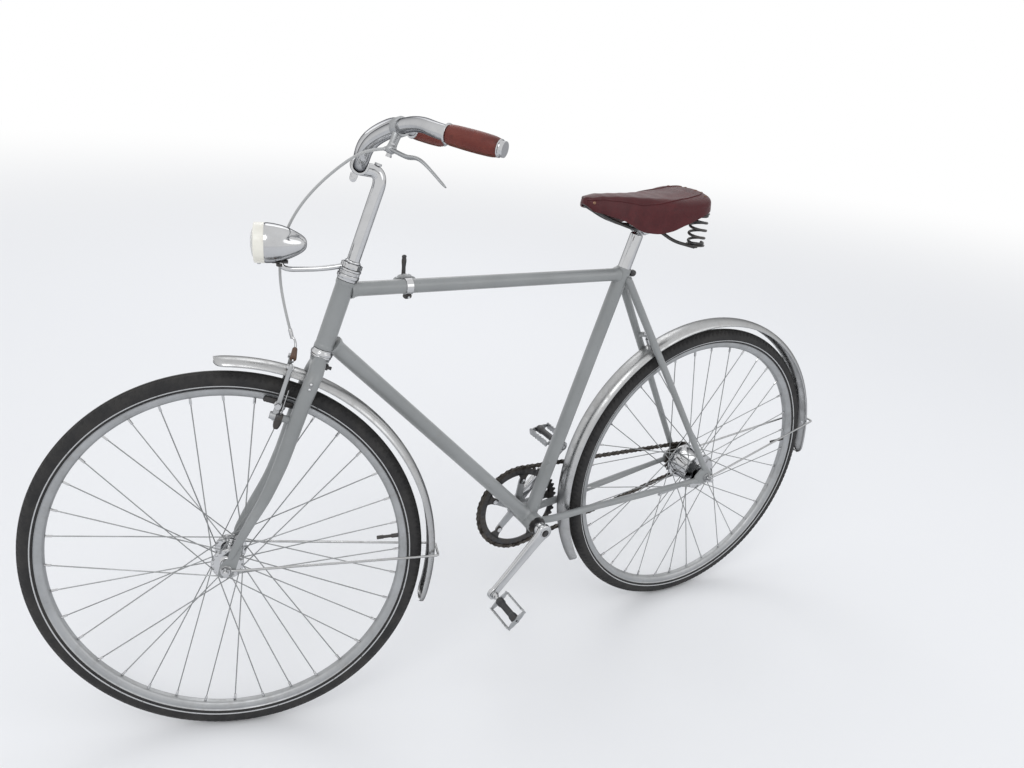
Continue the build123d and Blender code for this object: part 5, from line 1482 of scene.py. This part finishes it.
# Chain line: two straight tangents and two arcs, returned as points at even distances round the loop
def chainPins():
    gap = rearAxle - bracket
    apart, lineAngle = np.hypot(gap[0], gap[2]), np.arctan2(gap[2], gap[0])
    lean = np.arccos((ringPitch - cogPitch) / apart)
    run = np.sqrt(apart**2 - (ringPitch - cogPitch) ** 2)
    loop = 2 * run + ringPitch * (2 * np.pi - 2 * lean) + cogPitch * 2 * lean
    count = int(2 * round(loop / driveLook["pitch"] / 2))
    s = np.arange(count)[:, None] * loop / count
    ends = lineAngle + lean, lineAngle - lean
    ringTop, ringLow = polar(bracket, ringPitch, ends)
    cogTop, cogLow = polar(rearAxle, cogPitch, ends)
    upper = ringTop + (cogTop - ringTop) * s / run
    s1 = s - run
    overCog = polar(rearAxle, cogPitch, ends[0] - s1[:, 0] / cogPitch)
    s2 = s1 - cogPitch * 2 * lean
    lower = cogLow + (ringLow - cogLow) * s2 / run
    s3 = s2 - run
    overRing = polar(bracket, ringPitch, ends[1] - s3[:, 0] / ringPitch)
    return np.select([s3 >= 0, s2 >= 0, s1 >= 0], [overRing, lower, overCog], upper) + chainWay


# Link plate: half height is the end circle's at both ends, dipping straight to the waist in the middle
def linkPlate(y):
    p, h, w = driveLook["pitch"], driveLook["plateHalf"], driveLook["waist"]
    end = np.linspace(np.pi / 2, -np.pi / 2, 5)
    right = np.column_stack([p / 2 + h * np.cos(end), h * np.sin(end)])
    ring = np.vstack([right, [[0, -w]], -right, [[0, w]]])
    return grid([np.insert(ring, 1, y + k * driveLook["plateThick"] / 2, axis=1) for k in (-1, 1)])


def chainLinks(pins):
    after = np.roll(pins, -1, 0)
    middle, flow = (pins + after) / 2, unit(after - pins)
    side = np.tile(yWay, (len(pins), 1))
    up = np.cross(flow, side)
    grids = []
    for first, y in ((0, driveLook["innerY"]), (1, driveLook["outerY"])):
        for sign in (-1, 1):
            grids += copies(linkPlate(sign * y), *(q[first::2] for q in (middle, flow, side, up)))
    grids += copies(spun(driveLook["roller"], 0, yWay, 10), pins, flow, side, up)
    return grids + copies(spun(driveLook["pin"], 0, yWay, 8, finish=1), pins, flow, side, up)


# Toothed ring: outer radius swings between root and tip as a rounded wave, r = root + depth * w(angle) ** 0.8
def toothedRing(centre, count, pitchRadius, inner, phase):
    half = driveLook["ringThick"] / 2000
    angle = circle(count * 8)
    wave = np.clip(0.5 + 0.72 * np.cos(count * (angle - phase)), 0, 1) ** 0.8
    root, tip = pitchRadius - driveLook["seat"] - 0.0002, pitchRadius + driveLook["tip"]
    outer = root + (tip - root) * wave
    rows = [(inner, -half), (outer - 0.0030, -half), (outer, -half * 0.45)]
    rows += [(radius, -y) for radius, y in rows[::-1]]
    return grid([polar(centre + chainWay, radius, angle, y) for radius, y in rows], "loop")


crankWay = polar(0, -1, crankLook["angle"])
leftEnd, rightEnd = bracket + crankWay * crankLook["long"], bracket - crankWay * crankLook["long"]
pins = chainPins()
ringPhase = np.arctan2(pins[-3][2] - bracket[2], pins[-3][0] - bracket[0]) + np.pi / driveLook["teeth"]
cogPins = pins[np.linalg.norm(pins - rearAxle - chainWay, axis=1) < cogPitch + 0.0003]
cogAt = cogPins[len(cogPins) // 2] - rearAxle
cogPhase = np.arctan2(cogAt[2], cogAt[0]) + np.pi / driveLook["cog"]
cog = [toothedRing(rearAxle, driveLook["cog"], cogPitch, driveLook["cogInner"], cogPhase),
       spun(driveLook["cogHub"], rearAxle, yWay, 48, "loop", cut=0.6, steps=2)]
piece("rollerChain", chainLinks(pins), "chain chain", "frame", "chain")
piece("toothedSprocket", cog, "chain", "frame", "sprocket")

# Chainring: dark toothed ring with five webbed tabs that run in to the spider's bolts
ringGrids = [toothedRing(bracket, driveLook["teeth"], ringPitch, driveLook["ringInner"], ringPhase)]
spiderGrids = []
tabOutline = roundedOutline(driveLook["tab"], 3.5, 4)
spiderArm = stadium(1000 * (driveLook["boltCircle"] - driveLook["spiderIn"]), 10, 7.4)
spiderStart = np.arctan2(-crankWay[2], -crankWay[0]) + driveLook["spiderLag"]
for angle in spiderStart + circle(driveLook["arms"]):
    out, across = polar(0, 1, [angle, angle + np.pi / 2])
    boltAt, armAt = bracket + out * driveLook["boltCircle"], bracket + out * driveLook["spiderIn"]
    ringGrids += [slab(tabOutline, boltAt + chainWay, driveLook["ringThick"], 0.4, 2, 0, (out, across)),
                  spun(driveLook["nut"], boltAt, yWay, 20, finish=1)]
    armAt = armAt + yWay * driveLook["spiderY"]
    spiderGrids += [slab(spiderArm, armAt, driveLook["spiderThick"], 1, 4, 0, (out, across)),
                    spun(driveLook["head"], boltAt, yWay, 20, finish=1)]
spiderGrids.append(spun(driveLook["spiderHub"], bracket, yWay, 56, cut=0.9))
piece("darkToothedRing", ringGrids, "black chrome", "crankset", "chainring")


# Crank arm: rounded-box sections along its length; half width is the widest of the two end discs and a taper,
# and the outer face sinks by d * (1 - (x / w) ** 2) between the bosses as a flute
def crankArm(side, way, end):
    look = crankLook
    long, big, small = look["long"], look["big"], look["small"]
    a = np.linspace(0, np.pi, 9)[:5]
    s = np.concatenate([-big * np.cos(a) * 0.999, np.linspace(0.010, long - 0.008, 22),
                        long + small * np.sin(np.linspace(0, np.pi / 2, 6)) * 0.999])
    s = np.unique(np.round(s, 6))[:, None]
    share = np.clip(s / long, 0, 1)
    discs = [np.sqrt(np.clip(r**2 - (s - at) ** 2, 0, None)) for r, at in ((big, 0), (small, long))]
    wide, narrow = look["wide"]
    taper = np.where((s > 0) & (s < long), wide - (wide - narrow) * s / long, 0)
    half = np.maximum(np.maximum(*discs), taper * (1 - look["waist"] * np.sin(np.pi * share)))
    x, y = (squared(wave, look["corner"]) for wave in (np.cos(circle(40)), np.sin(circle(40))))
    deep = look["thick"] / 2 * (1 - look["thinner"] * share)
    flute = look["flute"] * np.clip((s - 0.021) / 0.010, 0, 1) * np.clip((long - 0.017 - s) / 0.008, 0, 1)
    sink = flute * np.clip(1 - (x / look["fluteWide"]) ** 2, 0, 1) * (y > 0)
    sideWay, across = side * yWay, vec(way[2], 0, -way[0])
    points = bracket + sideWay * look["y"] + way * s[..., None] + across * (half * x)[..., None]
    return [grid(points + sideWay * (deep * y - sink)[..., None], "both", 1),
            spun(look["boss"], bracket, sideWay, 44, "loop", 1, 1),
            spun(look["rim"], bracket, sideWay, 36, "loop", 1, 0.3, 2),
            # the black disc and the black crank bolt are painted shade of the open socket in the big end
            spun(look["cup"], bracket, sideWay, 30, finish=2),
            hexNut(bracket, sideWay, 69.1, 71.2, 8, 2, 0.15),
            spun(look["eye"], end, sideWay, 32, "loop", 0, 0.8, 2)]


rightGrids = crankArm(1, -crankWay, rightEnd) + spiderGrids
piece("leftFlutedCrank", crankArm(-1, crankWay, leftEnd), "alloy chrome black", "crankset", "left_crank")
piece("rightFlutedCrank", rightGrids, "alloy chrome black", "crankset", "right_crank")
spindleRows = [(r, -y) for r, y in driveLook["spindle"][::-1]] + driveLook["spindle"]
spindle = spun(spindleRows, bracket, yWay, 32, cut=0.5, steps=2)
piece("squareTaperSpindle", [spindle], "chrome", "crankset", "crank_spindle")
print("drive is dressed")


# Pedals: scalloped rails, end plates, a barrel and a dust cap, turned about their own spindle
pedalLook = {
    "inner": 88, "length": 74, "chord": 0.046, "height": 18, "thick": 2.6, "scallops": 7, "scallop": 2.4,
    "tilt": {"left": radians(45), "right": radians(10)},
    "plate": [(-22.5, -3), (-11, -5.8), (11, -5.8), (22.5, -3), (22.5, 3), (11, 5.8), (-11, 5.8), (-22.5, 3)],
    "barrel": [(4.7, 0.5), (8, 0.5), (8.8, 2.5), (8.8, 12.5), (7, 18.5), (7, 51.5), (8.8, 57.5), (8.8, 70.5),
               (7.4, 73.5), (0, 73.5)],
    "cap": [(0, 73.8), (5, 73.6), (7.8, 71.9), (9, 70.1), (9, 67.5)],
    "spindle": [(0, 56), (5, 56), (5, 69), (6.6, 69.4), (6.6, 76), (4.5, 79), (4.5, 155.8), (0, 155.8)],
}


# Rail outline: its upper and lower edges are a row of teeth, z = h - d * |sin(n pi y / L)|, less at the ends
def railOutline():
    look = pedalLook
    y = np.linspace(-look["length"] / 2 + 0.5, look["length"] / 2 - 0.5, 57)
    wave = np.abs(np.sin(look["scallops"] * np.pi * y / look["length"]))
    edge = look["height"] / 2 - look["scallop"] * wave - 3 * np.clip((np.abs(y) - 32) / 5, 0, 1) ** 2
    return mm(np.vstack([np.column_stack([y, edge]), np.column_stack([y, -edge])[::-1]]))


rods = []
for side, name, end in ((-1, "left", leftEnd), (1, "right", rightEnd)):
    look = pedalLook
    c, s = np.cos(look["tilt"][name]), np.sin(look["tilt"][name])
    tilt = np.array([[c, 0, s], [0, 1, 0], [-s, 0, c]])
    middle = side * yWay * (look["inner"] + look["length"] / 2) / 1000
    plate = roundedOutline(look["plate"], 2, 3)
    cage = []
    for sign in (-1, 1):
        railAt, plateAt = middle + xWay * sign * look["chord"] / 2, middle + yWay * sign * 0.0354
        cage.append(slab(railOutline(), railAt, look["thick"], 0.4, 2, axes=(yWay, zWay)))
        cage.append(slab(plate, plateAt, look["thick"], 0.4, 2))
        for corner in (-1, 1):
            bolt = middle + vec(corner * (look["chord"] / 2 + 0.0012), sign * 0.030, 0)
            cage.append(ball(bolt, 0.0024, 1, 12, 7, (0.6, 1, 1)))
    cage = [moved(g, lambda p: p @ tilt + end * vec(1, 0, 1)) for g in cage]
    piece(name + "ScallopedPedalCage", cage, "alloy chrome", name + "_pedal", name + "_pedal_cage")
    sideWay = side * yWay
    inner = end + sideWay * look["inner"] / 1000
    barrel = [spun(look["barrel"], inner, sideWay, 36, "end", cut=1.2),
              spun(look["cap"], inner, sideWay, 32, finish=1)]
    piece(name + "PedalBarrel", barrel, "plastic black", name + "_pedal", name + "_pedal_barrel")
    rods += [spun(look["spindle"], end, sideWay, 24, cut=0.5, steps=2), hexNut(end, sideWay, 69.6, 74.5, 13)]
piece("pedalSpindles", rods, "chrome", "crankset", "pedal_spindles")
print("pedals are dressed")


# Shifter: thin strap, shallow quadrant with index notches, slim lever with a rounded head and a cap screw
shifterLook = {
    "back": 0.117, "low": 0.011, "radius": 0.029, "y": 0.0162, "thick": 5.5, "rise": 0.062,
    "notches": 9, "notch": 0.0012, "lugLow": 0.0178,
    "lever": [7, 4.4, 3.6, 5, 3], "leverAt": [0, 0.2, 0.7, 0.9, 1.0],
    "screw": [(0, 5.6), (5, 5.4), (8.4, 4), (8.8, 1), (8.8, -2)],
}
topWay = unit(topEnd - topStart)
strapMiddle = topStart + topWay * shifterLook["back"]
shiftPivot = strapMiddle - zWay * shifterLook["low"]
angle = np.linspace(0, np.pi, 73)
notched = (np.cos(2 * shifterLook["notches"] * angle) > 0.55) & (np.abs(angle - np.pi / 2) < 1.25)
edge = shifterLook["radius"] - shifterLook["notch"] * notched
quadrant = np.column_stack([edge * np.cos(angle), edge * np.sin(angle)])
leverY = shifterLook["y"] + mm(shifterLook["thick"]) / 2 + 0.0026
leverRoot = shiftPivot + yWay * leverY
leverLine = leverRoot + np.linspace(-0.002, shifterLook["rise"] - 0.004, 14)[:, None] * zWay
leverWide = np.interp(np.linspace(0, 1, 14), shifterLook["leverAt"], mm(shifterLook["lever"]))
lugAt = strapMiddle - zWay * shifterLook["lugLow"]
shifterGrids = [
    slab(quadrant, shiftPivot + yWay * shifterLook["y"], shifterLook["thick"], 1.2, 3, 2),
    spun(collar(12.7, 14.6, -6.6, 6.6), strapMiddle, topWay, 48, "loop", 1, 0.5, 2),
    tube(leverLine, leverWide, 20, yWay, 0.55),
    ball(leverLine[-1], 0.0046, 0, 16, 9, (1.0, 0.55, 0.8)),
    spun(shifterLook["screw"], leverRoot, yWay, 28, finish=1),
    slab(stadium(6, 5, 4.5), lugAt - xWay * 0.003, 6, 0.8),
    rod(lugAt - vec(0, 0.007, 0.001), lugAt + vec(0, 0.007, -0.001), 0.0022, 12, 1)]
piece("notchedGearShifter", shifterGrids, "black chrome alloy", "frame", "gear_shifter")
print("shifter is dressed")
